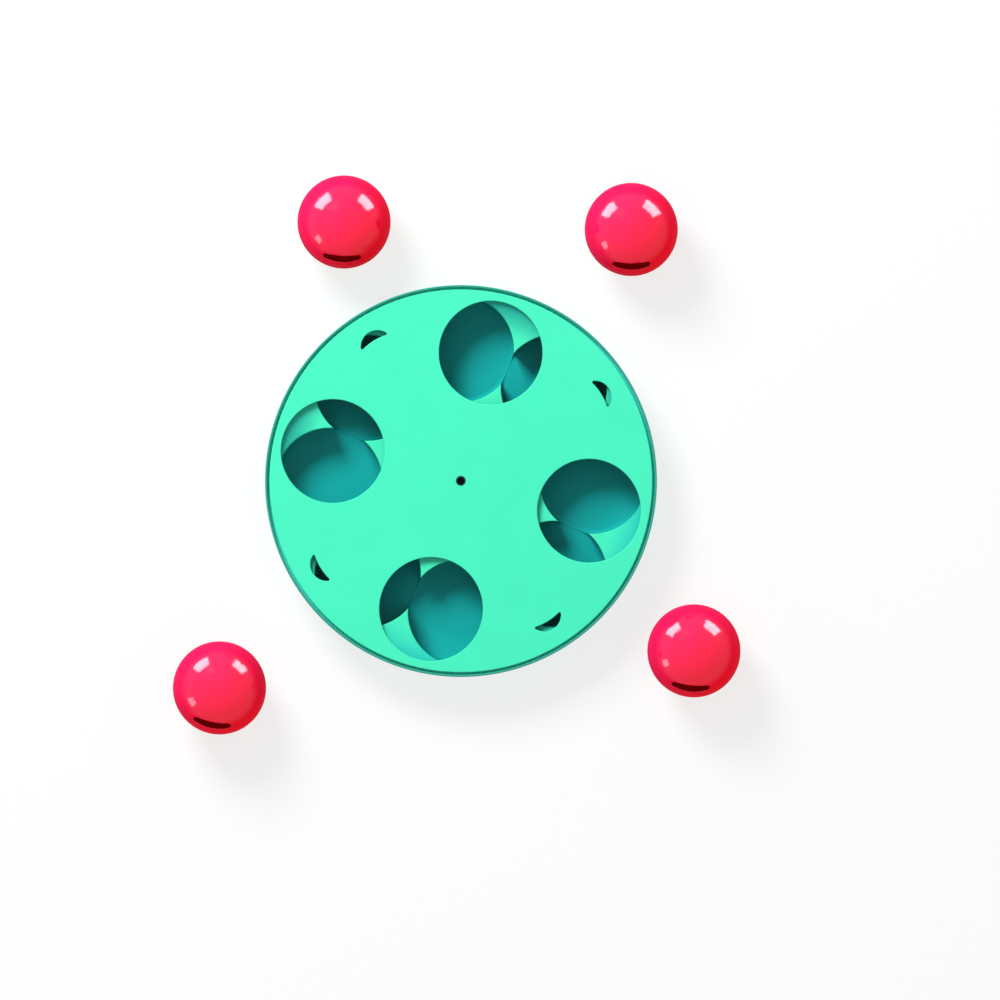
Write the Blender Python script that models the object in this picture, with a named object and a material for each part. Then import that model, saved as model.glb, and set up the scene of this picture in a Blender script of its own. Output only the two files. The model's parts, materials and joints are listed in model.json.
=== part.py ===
"""Dog treat puzzle: a disc that turns over a tray of wells, with four weighted treat balls.

Lengths are in metres and +Z is up. The origin lies on the disc's axis, on the ground.
"""

import math

import bmesh
import bpy
from mathutils import Matrix, Vector

MM = 0.001

# Fits and facets
CLEARANCE = 0.3 * MM                # between pieces that touch or run against each other
MERGE_DISTANCE = 0.001 * MM
SHARP_ANGLE = math.radians(35)
TRAY_SEGMENTS = 72
WELL_SEGMENTS = 32
BALL_SEGMENTS = 24
BALL_RINGS = 6                      # steps of a shell's outer arc, from the seam to the pole
INNER_RINGS = 5                     # steps of the upper shell's inner arc
BOWL_RINGS = 3                      # steps of the lower shell's inner arc
COLLAR_STEPS = 1                    # steps of both shells where the collar lies in the upper one
HUB_SEGMENTS = 24
FOOT_SEGMENTS = 24
FOOT_RING_SEGMENTS = 16
SCREW_SEGMENTS = 12
SLOT_STEPS = 10
MOUTH_STEPS = 8

# Tray: a ring of round wells under a flat deck
WELL_COUNT = 8
WELL_PITCH_RADIUS = 94.0 * MM       # from the disc's axis to a well's centre
WELL_RADIUS = 37.8 * MM             # a little over half the pitch, so that neighbours run together
WELL_DEPTH = 26.2 * MM
FLOOR_THICKNESS = 2.5 * MM
CUP_WALL = 2.2 * MM
DECK_THICKNESS = 2.4 * MM
SKIRT_WALL = 2.4 * MM
SKIRT_DRAFT = 3.0 * MM              # how far the skirt leans in from the deck to its lower edge
SKIRT_LIFT = 1.5 * MM               # lower edge above the ground
RIB_COUNT = 8
RIB_THICKNESS = 2.0 * MM
RIB_DEPTH = 18.0 * MM

# Edge of the tray, from the wells outwards
GLIDE_MARGIN = 1.2 * MM             # land between the wells and the glide ring
GLIDE_WIDTH = 2.5 * MM
GLIDE_HEIGHT = 1.7 * MM             # the disc runs on the top of this ring
DISC_OVERHANG = 1.3 * MM            # disc's edge past the glide ring
DISC_EDGE_GAP = 1.6 * MM            # dark line between the disc and the rim
RIM_WALL = 1.6 * MM
RIM_DROP = 0.3 * MM                 # rim's top below the disc's top

# Disc
DISC_THICKNESS = 3.0 * MM
DISC_TURN = math.radians(-13.1)     # where the disc stands at rest, against the wells
DISC_HOLE_COUNT = 4
DISC_HOLE_RADIUS = 37.0 * MM
SLOT_CHORD = 22.5 * MM              # straight inner edge of a half-moon slot
SLOT_RISE = 8.2 * MM                # from that edge to the top of the arc
SLOT_INNER_RADIUS = 116.4 * MM      # from the disc's axis to that edge
SLOT_LAND = 5.0 * MM                # least width of disc between a slot and the edge

# Pivot, from the disc's journal to the screw
JOURNAL_RADIUS = 12.0 * MM
SOCKET_DEPTH = 10.0 * MM            # hub socket below the deck
HUB_WALL = 2.4 * MM
HUB_FLOOR = 2.4 * MM
POST_RADIUS = 4.0 * MM              # post under the socket that takes the screw
POST_FLOOR = 2.0 * MM
PIVOT_SHANK_RADIUS = 1.5 * MM
PIVOT_HEAD_RADIUS = 2.8 * MM
PIVOT_HEAD_HEIGHT = 2.0 * MM
PIVOT_TIP_GAP = 1.0 * MM
BUSHING_WALL = 0.6 * MM
BUSHING_LENGTH = 8.5 * MM
WASHER_RADIUS = 3.2 * MM
WASHER_THICKNESS = 0.8 * MM

# Rubber feet
FOOT_HEIGHT = 3.0 * MM
FOOT_RADIUS = 9.0 * MM
FOOT_CHAMFER = 0.6 * MM
FOOT_PLUG_HEIGHT = 5.0 * MM         # plug of the middle foot, inside the hub
FOOT_RING_WALL = 1.5 * MM           # locating ring round each outer foot
FOOT_RING_HEIGHT = 1.3 * MM
OUTER_FOOT_COUNT = 4

# Treat balls: two shells, closed at the middle
BALL_RADIUS = 33.5 * MM
BALL_WALL = 2.2 * MM
COLLAR_HEIGHT = 5.0 * MM            # collar of the lower shell, inside the upper one
COLLAR_WALL = 1.8 * MM
MOUTH_LENGTH = 27.0 * MM
MOUTH_WIDTH = 4.6 * MM              # as seen from above
MOUTH_DISTANCE = 26.4 * MM          # from the ball's axis to the middle of the mouth
MOUTH_BEND_RADIUS = 38.5 * MM
MOUTH_SILL = 2.0 * MM               # from the collar's top to the foot of the cut
POCKET_FLOOR = 5.4 * MM             # above the lowest point of the ball
POCKET_WALL = 2.0 * MM
WEIGHT_RADIUS = 14.5 * MM
WEIGHT_HEIGHT = 5.0 * MM
BOSS_RADIUS = 3.0 * MM
COVER_THICKNESS = 2.0 * MM
COVER_SHANK_RADIUS = 1.2 * MM
COVER_HEAD_RADIUS = 2.6 * MM
COVER_HEAD_HEIGHT = 1.6 * MM
COVER_TIP_GAP = 0.6 * MM

# Where each ball stands: direction from +X, gap between the rim and the ball, turn of the mouth
BALL_SPOTS = (
    (math.radians(114.3), 29.5 * MM, math.radians(-3.0)),
    (math.radians(55.9), 43.5 * MM, math.radians(0.0)),
    (math.radians(-36.1), 32.5 * MM, math.radians(-6.0)),
    (math.radians(-139.4), 53.7 * MM, math.radians(-11.5)),
)

# Heights of the tray, the disc and the pivot above the ground
FLOOR_UNDERSIDE = FOOT_HEIGHT + CLEARANCE
FLOOR_TOP = FLOOR_UNDERSIDE + FLOOR_THICKNESS
DECK_TOP = FLOOR_TOP + WELL_DEPTH
DECK_UNDERSIDE = DECK_TOP - DECK_THICKNESS
GLIDE_TOP = DECK_TOP + GLIDE_HEIGHT
DISC_UNDERSIDE = GLIDE_TOP + CLEARANCE
DISC_TOP = DISC_UNDERSIDE + DISC_THICKNESS
RIM_TOP = DISC_TOP - RIM_DROP
SOCKET_FLOOR = DECK_TOP - SOCKET_DEPTH
PLUG_TOP = FOOT_HEIGHT + FOOT_PLUG_HEIGHT
POST_BOTTOM = PLUG_TOP + CLEARANCE
PIVOT_HOLE_BOTTOM = POST_BOTTOM + POST_FLOOR
JOURNAL_BOTTOM = SOCKET_FLOOR + CLEARANCE
BUSHING_TOP = JOURNAL_BOTTOM + BUSHING_LENGTH
WASHER_BOTTOM = BUSHING_TOP + CLEARANCE
PIVOT_HEAD_BOTTOM = WASHER_BOTTOM + WASHER_THICKNESS + CLEARANCE

# Radii of the tray, the disc and the pivot
LEAST_DISC_RADIUS = SLOT_INNER_RADIUS + SLOT_RISE + SLOT_LAND
GLIDE_INNER = max(
    WELL_PITCH_RADIUS + WELL_RADIUS + GLIDE_MARGIN,
    LEAST_DISC_RADIUS - DISC_OVERHANG - GLIDE_WIDTH,
)
GLIDE_OUTER = GLIDE_INNER + GLIDE_WIDTH
DISC_RADIUS = GLIDE_OUTER + DISC_OVERHANG
RIM_INNER = DISC_RADIUS + DISC_EDGE_GAP
TRAY_RADIUS = RIM_INNER + RIM_WALL
SKIRT_FOOT_RADIUS = TRAY_RADIUS - SKIRT_DRAFT
SOCKET_RADIUS = JOURNAL_RADIUS + CLEARANCE
HUB_RADIUS = SOCKET_RADIUS + HUB_WALL
HUB_JOINT_RADIUS = SOCKET_RADIUS + HUB_WALL / 2
PIVOT_HOLE_RADIUS = PIVOT_SHANK_RADIUS + CLEARANCE
BUSHING_RADIUS = PIVOT_HOLE_RADIUS + BUSHING_WALL
DISC_BORE_RADIUS = BUSHING_RADIUS + CLEARANCE
COUNTERBORE_RADIUS = WASHER_RADIUS + CLEARANCE
FOOT_RING_INNER = FOOT_RADIUS + CLEARANCE

# Heights and radii of a ball, from its centre
BALL_INNER = BALL_RADIUS - BALL_WALL
SEAM_HALF_GAP = CLEARANCE / 2
COLLAR_RADIUS = BALL_INNER - CLEARANCE
COLLAR_INNER = COLLAR_RADIUS - COLLAR_WALL
POCKET_FLOOR_Z = POCKET_FLOOR - BALL_RADIUS
POCKET_INNER = WEIGHT_RADIUS + CLEARANCE
POCKET_OUTER = POCKET_INNER + POCKET_WALL
WEIGHT_BOTTOM_Z = POCKET_FLOOR_Z + CLEARANCE
POCKET_TOP_Z = WEIGHT_BOTTOM_Z + WEIGHT_HEIGHT + CLEARANCE
COVER_BOTTOM_Z = POCKET_TOP_Z + CLEARANCE
COVER_TOP_Z = COVER_BOTTOM_Z + COVER_THICKNESS
COVER_HOLE_RADIUS = COVER_SHANK_RADIUS + CLEARANCE
COVER_HEAD_Z = COVER_TOP_Z + CLEARANCE


def srgb(red, green, blue):
    """Turn an 8-bit screen colour into the linear colour that a shader takes."""
    def linear(value):
        share = value / 255
        if share <= 0.04045:
            return share / 12.92
        return ((share + 0.055) / 1.055) ** 2.4
    return (linear(red), linear(green), linear(blue), 1.0)


def material(name, colour, roughness, metallic=0.0):
    """Make a plain Principled material."""
    finish = bpy.data.materials.new(name)
    finish.use_nodes = True
    shader = finish.node_tree.nodes["Principled BSDF"]
    shader.inputs["Base Color"].default_value = colour
    shader.inputs["Roughness"].default_value = roughness
    shader.inputs["Metallic"].default_value = metallic
    finish.diffuse_color = colour
    return finish


def new_object(name, bm):
    """Turn a finished bmesh into a linked object."""
    bmesh.ops.remove_doubles(bm, verts=bm.verts, dist=MERGE_DISTANCE)
    bmesh.ops.recalc_face_normals(bm, faces=bm.faces)
    mesh = bpy.data.meshes.new(name)
    bm.to_mesh(mesh)
    bm.free()
    body = bpy.data.objects.new(name, mesh)
    bpy.context.scene.collection.objects.link(body)
    return body


def turned(name, outline, segments, ring=False):
    """Spin an (r, z) outline about Z. A ring's outline closes on itself, and open ends are filled."""
    bm = bmesh.new()
    points = [bm.verts.new((radius, 0, height)) for radius, height in outline]
    pairs = list(zip(points, points[1:]))
    if ring:
        pairs.append((points[-1], points[0]))
    edges = [bm.edges.new(pair) for pair in pairs]
    bmesh.ops.spin(
        bm, geom=points + edges, axis=(0, 0, 1), cent=(0, 0, 0), angle=math.tau, steps=segments
    )
    bmesh.ops.remove_doubles(bm, verts=bm.verts, dist=MERGE_DISTANCE)
    open_edges = [edge for edge in bm.edges if edge.is_boundary]
    bmesh.ops.holes_fill(bm, edges=open_edges, sides=0)
    return new_object(name, bm)


def prism(name, outline, bottom, top):
    """Raise a flat (x, y) outline from one height to another."""
    bm = bmesh.new()
    base = bm.faces.new([bm.verts.new((x, y, bottom)) for x, y in outline])
    raised = bmesh.ops.extrude_face_region(bm, geom=[base])
    lifted = [item for item in raised["geom"] if isinstance(item, bmesh.types.BMVert)]
    bmesh.ops.translate(bm, verts=lifted, vec=(0, 0, top - bottom))
    return new_object(name, bm)


def arc(radius, start, end, steps, middle=(0.0, 0.0)):
    """Points along an arc, from one angle to another, both ends included."""
    angles = [start + (end - start) * step / steps for step in range(steps + 1)]
    return [(middle[0] + radius * math.cos(a), middle[1] + radius * math.sin(a)) for a in angles]


def turned_about_z(points, angle):
    """Turn flat points about the origin."""
    turn = Matrix.Rotation(angle, 2)
    return [tuple(turn @ Vector(point)) for point in points]


def spokes(count, first=0.0):
    """Evenly spaced directions round the axis."""
    return [first + math.tau * index / count for index in range(count)]


def round_body(name, direction, reach, radius, bottom, top, segments):
    """A plain cylinder whose axis stands at a distance from the origin in one direction."""
    middle = (reach * math.cos(direction), reach * math.sin(direction))
    outline = arc(radius, 0.0, math.tau, segments, middle)[:-1]
    return prism(name, outline, bottom, top)


def combine(target, tools, operation):
    """Join bodies to the target, or cut them from it, all in one step, and remove them."""
    group = bpy.data.collections.new("tools")
    for tool in tools:
        group.objects.link(tool)
    modifier = target.modifiers.new("combine", "BOOLEAN")
    modifier.operation = operation
    modifier.solver = "EXACT"
    modifier.operand_type = "COLLECTION"
    modifier.collection = group
    with bpy.context.temp_override(object=target):
        bpy.ops.object.modifier_apply(modifier=modifier.name)
    for tool in tools:
        bpy.data.objects.remove(tool)
    bpy.data.collections.remove(group)


def finish(body, surface):
    """Give a body its material and smooth shading with sharp edges."""
    body.data.materials.clear()
    body.data.materials.append(surface)
    body.data.shade_smooth()
    body.data.set_sharp_from_angle(angle=SHARP_ANGLE)
    return body


def copy_of(body, name):
    """A further object with the same mesh."""
    twin = bpy.data.objects.new(name, body.data)
    bpy.context.scene.collection.objects.link(twin)
    return twin


# Tray

def tray_shell():
    """Deck, glide ring, rim and skirt."""
    outline = [
        (HUB_JOINT_RADIUS, DECK_TOP),
        (GLIDE_INNER, DECK_TOP),
        (GLIDE_INNER, GLIDE_TOP),
        (GLIDE_OUTER, GLIDE_TOP),
        (GLIDE_OUTER, DECK_TOP),
        (RIM_INNER, DECK_TOP),
        (RIM_INNER, RIM_TOP),
        (TRAY_RADIUS, RIM_TOP),
        (TRAY_RADIUS, DECK_UNDERSIDE),
        (SKIRT_FOOT_RADIUS, SKIRT_LIFT),
        (SKIRT_FOOT_RADIUS - SKIRT_WALL, SKIRT_LIFT),
        (TRAY_RADIUS - SKIRT_WALL, DECK_UNDERSIDE),
        (HUB_JOINT_RADIUS, DECK_UNDERSIDE),
    ]
    return turned("base_tray", outline, TRAY_SEGMENTS, ring=True)


def tray_hub():
    """Socket for the disc's journal, with the screw post below its floor."""
    outline = [
        (PIVOT_HOLE_RADIUS, PIVOT_HOLE_BOTTOM),
        (PIVOT_HOLE_RADIUS, SOCKET_FLOOR),
        (SOCKET_RADIUS, SOCKET_FLOOR),
        (SOCKET_RADIUS, DECK_TOP),
        (HUB_RADIUS, DECK_TOP),
        (HUB_RADIUS, FLOOR_UNDERSIDE),
        (SOCKET_RADIUS, FLOOR_UNDERSIDE),
        (SOCKET_RADIUS, SOCKET_FLOOR - HUB_FLOOR),
        (POST_RADIUS, SOCKET_FLOOR - HUB_FLOOR),
        (POST_RADIUS, POST_BOTTOM),
    ]
    return turned("hub", outline, HUB_SEGMENTS)


def tray_rib(direction):
    """Upright rib under the deck, from the hub to the wall of a cup."""
    inner = HUB_JOINT_RADIUS
    outer = WELL_PITCH_RADIUS - WELL_RADIUS - CUP_WALL / 2
    half = RIB_THICKNESS / 2
    outline = [(inner, -half), (outer, -half), (outer, half), (inner, half)]
    bottom = DECK_UNDERSIDE - RIB_DEPTH
    top = DECK_UNDERSIDE + DECK_THICKNESS / 2
    return prism("rib", turned_about_z(outline, direction), bottom, top)


def foot_directions():
    """The outer feet stand under every second cup."""
    return spokes(OUTER_FOOT_COUNT, math.tau / WELL_COUNT)


def foot_ring(direction):
    """Locating ring under a cup, round one foot."""
    bottom = FLOOR_UNDERSIDE - FOOT_RING_HEIGHT
    top = FLOOR_UNDERSIDE + FLOOR_THICKNESS / 2
    outline = [
        (FOOT_RING_INNER, top),
        (FOOT_RING_INNER + FOOT_RING_WALL, top),
        (FOOT_RING_INNER + FOOT_RING_WALL, bottom),
        (FOOT_RING_INNER, bottom),
    ]
    ring = turned("foot_ring", outline, FOOT_RING_SEGMENTS, ring=True)
    reach = Matrix.Translation((WELL_PITCH_RADIUS, 0, 0))
    ring.data.transform(Matrix.Rotation(direction, 4, "Z") @ reach)
    return ring


def base_tray(surface):
    """The whole tray, as one moulding."""
    tray = tray_shell()
    cups = [
        round_body(
            "cup", direction, WELL_PITCH_RADIUS, WELL_RADIUS + CUP_WALL,
            FLOOR_UNDERSIDE, DECK_UNDERSIDE + DECK_THICKNESS / 2, WELL_SEGMENTS,
        )
        for direction in spokes(WELL_COUNT)
    ]
    wells = [
        round_body(
            "well", direction, WELL_PITCH_RADIUS, WELL_RADIUS, FLOOR_TOP, DISC_TOP, WELL_SEGMENTS
        )
        for direction in spokes(WELL_COUNT)
    ]
    ribs = [tray_rib(direction) for direction in spokes(RIB_COUNT)]
    rings = [foot_ring(direction) for direction in foot_directions()]
    combine(tray, [tray_hub()] + cups + ribs + rings, "UNION")
    combine(tray, wells, "DIFFERENCE")
    return finish(tray, surface)


# Disc and pivot

def half_moon(direction):
    """Cutter for one slot: a straight inner edge and an arc that bulges towards the rim."""
    bend_radius = (SLOT_CHORD ** 2 / 4 + SLOT_RISE ** 2) / (2 * SLOT_RISE)
    half_angle = math.atan2(SLOT_CHORD / 2, bend_radius - SLOT_RISE)
    middle = (SLOT_INNER_RADIUS + SLOT_RISE - bend_radius, 0.0)
    outline = arc(bend_radius, -half_angle, half_angle, SLOT_STEPS, middle)
    return prism("half_moon", turned_about_z(outline, direction), DECK_TOP, DISC_TOP + DISC_THICKNESS)


def spinner_disc(surface):
    """The turning disc, with its journal below."""
    outline = [
        (COUNTERBORE_RADIUS, DISC_TOP),
        (DISC_RADIUS, DISC_TOP),
        (DISC_RADIUS, DISC_UNDERSIDE),
        (JOURNAL_RADIUS, DISC_UNDERSIDE),
        (JOURNAL_RADIUS, JOURNAL_BOTTOM),
        (DISC_BORE_RADIUS, JOURNAL_BOTTOM),
        (DISC_BORE_RADIUS, BUSHING_TOP),
        (COUNTERBORE_RADIUS, BUSHING_TOP),
    ]
    disc = turned("spinner_disc", outline, TRAY_SEGMENTS, ring=True)
    holes = [
        round_body(
            "hole", direction, WELL_PITCH_RADIUS, DISC_HOLE_RADIUS,
            DECK_TOP, DISC_TOP + DISC_THICKNESS, WELL_SEGMENTS,
        )
        for direction in spokes(DISC_HOLE_COUNT)
    ]
    between = math.pi / DISC_HOLE_COUNT
    slots = [half_moon(direction) for direction in spokes(DISC_HOLE_COUNT, between)]
    combine(disc, holes + slots, "DIFFERENCE")
    disc.rotation_euler.z = DISC_TURN
    return finish(disc, surface)


def pivot_bushing(surface):
    """Sleeve on which the disc turns. It stands on the socket's floor."""
    outline = [
        (PIVOT_HOLE_RADIUS, BUSHING_TOP),
        (BUSHING_RADIUS, BUSHING_TOP),
        (BUSHING_RADIUS, JOURNAL_BOTTOM),
        (PIVOT_HOLE_RADIUS, JOURNAL_BOTTOM),
    ]
    return finish(turned("pivot_bushing", outline, HUB_SEGMENTS, ring=True), surface)


def pivot_washer(surface):
    """Washer on the bushing. It keeps the disc from lifting."""
    outline = [
        (PIVOT_HOLE_RADIUS, WASHER_BOTTOM + WASHER_THICKNESS),
        (WASHER_RADIUS, WASHER_BOTTOM + WASHER_THICKNESS),
        (WASHER_RADIUS, WASHER_BOTTOM),
        (PIVOT_HOLE_RADIUS, WASHER_BOTTOM),
    ]
    return finish(turned("pivot_washer", outline, HUB_SEGMENTS, ring=True), surface)


def screw(name, head_radius, head_height, head_bottom, shank_radius, tip):
    """A plain screw: a flat head over a straight shank."""
    outline = [
        (head_radius, head_bottom + head_height),
        (head_radius, head_bottom),
        (shank_radius, head_bottom),
        (shank_radius, tip),
    ]
    return turned(name, outline, SCREW_SEGMENTS)


def pivot_screw(surface):
    """Screw that clamps the washer and the bushing to the tray's post."""
    tip = PIVOT_HOLE_BOTTOM + PIVOT_TIP_GAP
    body = screw(
        "pivot_screw", PIVOT_HEAD_RADIUS, PIVOT_HEAD_HEIGHT, PIVOT_HEAD_BOTTOM, PIVOT_SHANK_RADIUS, tip
    )
    return finish(body, surface)


# Feet

def foot_center(surface):
    """Middle foot, plugged into the lower end of the hub."""
    outline = [
        (SOCKET_RADIUS - CLEARANCE, PLUG_TOP),
        (SOCKET_RADIUS - CLEARANCE, FOOT_HEIGHT),
        (HUB_RADIUS, FOOT_HEIGHT),
        (HUB_RADIUS, FOOT_CHAMFER),
        (HUB_RADIUS - FOOT_CHAMFER, 0.0),
    ]
    return finish(turned("foot_center", outline, FOOT_SEGMENTS), surface)


def outer_feet(surface):
    """Round pads in their locating rings."""
    outline = [
        (FOOT_RADIUS, FOOT_HEIGHT),
        (FOOT_RADIUS, FOOT_CHAMFER),
        (FOOT_RADIUS - FOOT_CHAMFER, 0.0),
    ]
    first = finish(turned("foot_1", outline, FOOT_SEGMENTS), surface)
    feet = [first] + [copy_of(first, f"foot_{number}") for number in range(2, OUTER_FOOT_COUNT + 1)]
    for foot, direction in zip(feet, foot_directions()):
        foot.location = (
            WELL_PITCH_RADIUS * math.cos(direction), WELL_PITCH_RADIUS * math.sin(direction), 0
        )


# Treat balls, modelled about their own centres

def mouth_cutter():
    """Bent slot, cut straight down through the wall of the upper shell."""
    half_angle = math.asin(MOUTH_LENGTH / 2 / MOUTH_BEND_RADIUS)
    middle = (0.0, MOUTH_BEND_RADIUS - MOUTH_DISTANCE)
    south = -math.pi / 2
    start = south - half_angle
    end = south + half_angle
    far_edge = arc(MOUTH_BEND_RADIUS + MOUTH_WIDTH / 2, start, end, MOUTH_STEPS, middle)
    near_edge = arc(MOUTH_BEND_RADIUS - MOUTH_WIDTH / 2, end, start, MOUTH_STEPS, middle)
    return prism("mouth", far_edge + near_edge, COLLAR_HEIGHT + MOUTH_SILL, BALL_RADIUS)


def ball_dome(surface):
    """Upper shell with the mouth."""
    outer_start = math.asin(SEAM_HALF_GAP / BALL_RADIUS)
    inner_start = math.asin(SEAM_HALF_GAP / BALL_INNER)
    collar_end = math.asin((COLLAR_HEIGHT + CLEARANCE) / BALL_INNER)
    pole = math.pi / 2
    outline = arc(BALL_RADIUS, pole, outer_start, BALL_RINGS)
    outline += arc(BALL_INNER, inner_start, collar_end, COLLAR_STEPS)
    outline += arc(BALL_INNER, collar_end, pole, INNER_RINGS)[1:]
    dome = turned("ball_1_dome", outline, BALL_SEGMENTS)
    combine(dome, [mouth_cutter()], "DIFFERENCE")
    return finish(dome, surface)


def ball_bowl(surface):
    """Lower shell with the collar, and a pocket for the weight at its foot."""
    pole = -math.pi / 2
    seam = -math.asin(SEAM_HALF_GAP / BALL_RADIUS)
    collar_start = -math.asin(SEAM_HALF_GAP / COLLAR_RADIUS)
    collar_end = math.asin(COLLAR_HEIGHT / COLLAR_RADIUS)
    wall_top = -math.acos(COLLAR_INNER / BALL_INNER)
    wall_foot = -math.acos(POCKET_OUTER / BALL_INNER)
    outline = arc(BALL_RADIUS, pole, seam, BALL_RINGS)
    outline += arc(COLLAR_RADIUS, collar_start, collar_end, COLLAR_STEPS)
    outline += [(COLLAR_INNER, COLLAR_HEIGHT)]
    outline += arc(BALL_INNER, wall_top, wall_foot, BOWL_RINGS)
    outline += [
        (POCKET_OUTER, POCKET_TOP_Z),
        (POCKET_INNER, POCKET_TOP_Z),
        (POCKET_INNER, POCKET_FLOOR_Z),
        (BOSS_RADIUS, POCKET_FLOOR_Z),
        (BOSS_RADIUS, POCKET_TOP_Z),
        (COVER_HOLE_RADIUS, POCKET_TOP_Z),
        (COVER_HOLE_RADIUS, POCKET_FLOOR_Z),
    ]
    return finish(turned("ball_1_bowl", outline, BALL_SEGMENTS), surface)


def ball_weight(surface):
    """Steel puck round the boss."""
    hole = BOSS_RADIUS + CLEARANCE
    outline = [
        (hole, WEIGHT_BOTTOM_Z + WEIGHT_HEIGHT),
        (WEIGHT_RADIUS, WEIGHT_BOTTOM_Z + WEIGHT_HEIGHT),
        (WEIGHT_RADIUS, WEIGHT_BOTTOM_Z),
        (hole, WEIGHT_BOTTOM_Z),
    ]
    return finish(turned("ball_1_weight", outline, BALL_SEGMENTS, ring=True), surface)


def ball_weight_cover(surface):
    """Plate over the pocket, as wide as the shell leaves room for."""
    radius = math.sqrt(BALL_INNER ** 2 - COVER_BOTTOM_Z ** 2) - 2 * CLEARANCE
    outline = [
        (COVER_HOLE_RADIUS, COVER_TOP_Z),
        (radius, COVER_TOP_Z),
        (radius, COVER_BOTTOM_Z),
        (COVER_HOLE_RADIUS, COVER_BOTTOM_Z),
    ]
    return finish(turned("ball_1_weight_cover", outline, BALL_SEGMENTS, ring=True), surface)


def ball_cover_screw(surface):
    """Screw through the cover into the boss."""
    tip = POCKET_FLOOR_Z + COVER_TIP_GAP
    body = screw(
        "ball_1_cover_screw", COVER_HEAD_RADIUS, COVER_HEAD_HEIGHT, COVER_HEAD_Z, COVER_SHANK_RADIUS, tip
    )
    return finish(body, surface)


def treat_balls(shell, cover, steel, dark_steel):
    """Model one ball, copy it, and stand each one in its place on an empty at its centre."""
    models = {
        "dome": ball_dome(shell),
        "bowl": ball_bowl(shell),
        "weight": ball_weight(steel),
        "weight_cover": ball_weight_cover(cover),
        "cover_screw": ball_cover_screw(dark_steel),
    }
    for number, (direction, gap, mouth_turn) in enumerate(BALL_SPOTS, start=1):
        reach = TRAY_RADIUS + gap + BALL_RADIUS
        center = bpy.data.objects.new(f"ball_{number}_center", None)
        bpy.context.scene.collection.objects.link(center)
        center.location = (reach * math.cos(direction), reach * math.sin(direction), BALL_RADIUS)
        center.rotation_euler.z = mouth_turn
        for piece, model in models.items():
            body = model if number == 1 else copy_of(model, f"ball_{number}_{piece}")
            body.parent = center


def main():
    """Clear the scene and build every piece."""
    for old in list(bpy.data.objects):
        bpy.data.objects.remove(old)
    mint = srgb(82, 254, 201)
    red = srgb(246, 45, 90)
    base_tray(material("tray mint plastic", mint, 0.4))
    spinner_disc(material("disc mint plastic", mint, 0.4))
    pivot_bushing(material("bushing plastic", srgb(232, 230, 220), 0.5))
    pivot_washer(material("washer steel", srgb(150, 152, 155), 0.35, 1.0))
    pivot_screw(material("pivot screw black steel", srgb(34, 36, 38), 0.4, 1.0))
    rubber = material("foot rubber", srgb(38, 40, 42), 0.85)
    foot_center(rubber)
    outer_feet(rubber)
    treat_balls(
        material("ball red plastic", red, 0.15),
        material("cover plastic", srgb(225, 225, 220), 0.5),
        material("weight steel", srgb(140, 142, 145), 0.4, 1.0),
        material("cover screw black steel", srgb(40, 42, 44), 0.4, 1.0),
    )


main()
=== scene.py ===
import json
import math

import bmesh
import bpy
from mathutils import Matrix, Vector

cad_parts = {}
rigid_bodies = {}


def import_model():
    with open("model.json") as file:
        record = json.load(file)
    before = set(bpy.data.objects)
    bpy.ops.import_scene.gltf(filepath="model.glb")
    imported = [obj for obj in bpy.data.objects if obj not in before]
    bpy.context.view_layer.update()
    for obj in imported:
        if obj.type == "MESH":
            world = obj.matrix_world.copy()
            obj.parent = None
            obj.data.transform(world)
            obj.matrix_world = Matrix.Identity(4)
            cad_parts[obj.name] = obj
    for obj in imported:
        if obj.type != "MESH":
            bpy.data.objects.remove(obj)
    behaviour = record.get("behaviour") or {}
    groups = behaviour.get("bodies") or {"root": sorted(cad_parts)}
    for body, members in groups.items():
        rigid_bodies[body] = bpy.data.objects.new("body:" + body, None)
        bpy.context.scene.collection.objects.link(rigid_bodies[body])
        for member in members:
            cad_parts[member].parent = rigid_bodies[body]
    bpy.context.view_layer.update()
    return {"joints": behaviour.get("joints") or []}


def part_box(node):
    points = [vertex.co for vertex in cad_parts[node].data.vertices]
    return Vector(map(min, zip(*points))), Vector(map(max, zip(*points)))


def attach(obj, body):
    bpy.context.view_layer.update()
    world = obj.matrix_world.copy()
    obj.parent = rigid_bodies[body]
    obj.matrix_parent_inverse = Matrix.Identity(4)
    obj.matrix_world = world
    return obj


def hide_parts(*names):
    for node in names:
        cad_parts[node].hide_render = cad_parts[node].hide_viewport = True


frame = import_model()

bl_info = {
    "name": "Dog treat puzzle",
    "version": (1, 0, 0),
    "blender": (4, 5, 0),
    "location": "View3D > Sidebar > Treat puzzle",
    "description": "Models the tray, disc, pivot, feet and weighted treat balls of a dog's puzzle toy",
    "category": "Add Mesh",
}

MM = 0.001
TRAY_LOW, TRAY_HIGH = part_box("base_tray")
DISC_LOW, DISC_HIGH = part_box("spinner_disc")
BUSHING_LOW, BUSHING_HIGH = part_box("pivot_bushing")
WASHER_LOW, WASHER_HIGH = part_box("pivot_washer")
SCREW_LOW, SCREW_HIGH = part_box("pivot_screw")
HUB_FOOT_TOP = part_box("foot_center")[1].z
FOOT_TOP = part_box("foot_1")[1].z
BALL_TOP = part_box("ball_1_dome")[1].z
BALL_CENTERS = {
    joint["child"]: Vector(joint["pos_m"])
    for joint in frame["joints"]
    if joint["name"].endswith("_wobble")
}

ARC_STEP = 18.0  # degrees between the points of a rounded corner
MERGE = 0.001 * MM
CLEAN = 0.005 * MM  # slivers below this are merged after a Boolean
FLARE_LIFT = 0.03 * MM  # lets a flared cutter cross a face at an angle
PAST = 3.0 * MM  # how far a cutter stands past the disc's faces
SHARP = math.radians(32)
COLUMNS = 192  # points round a ball's mouth and round its seam

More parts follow.
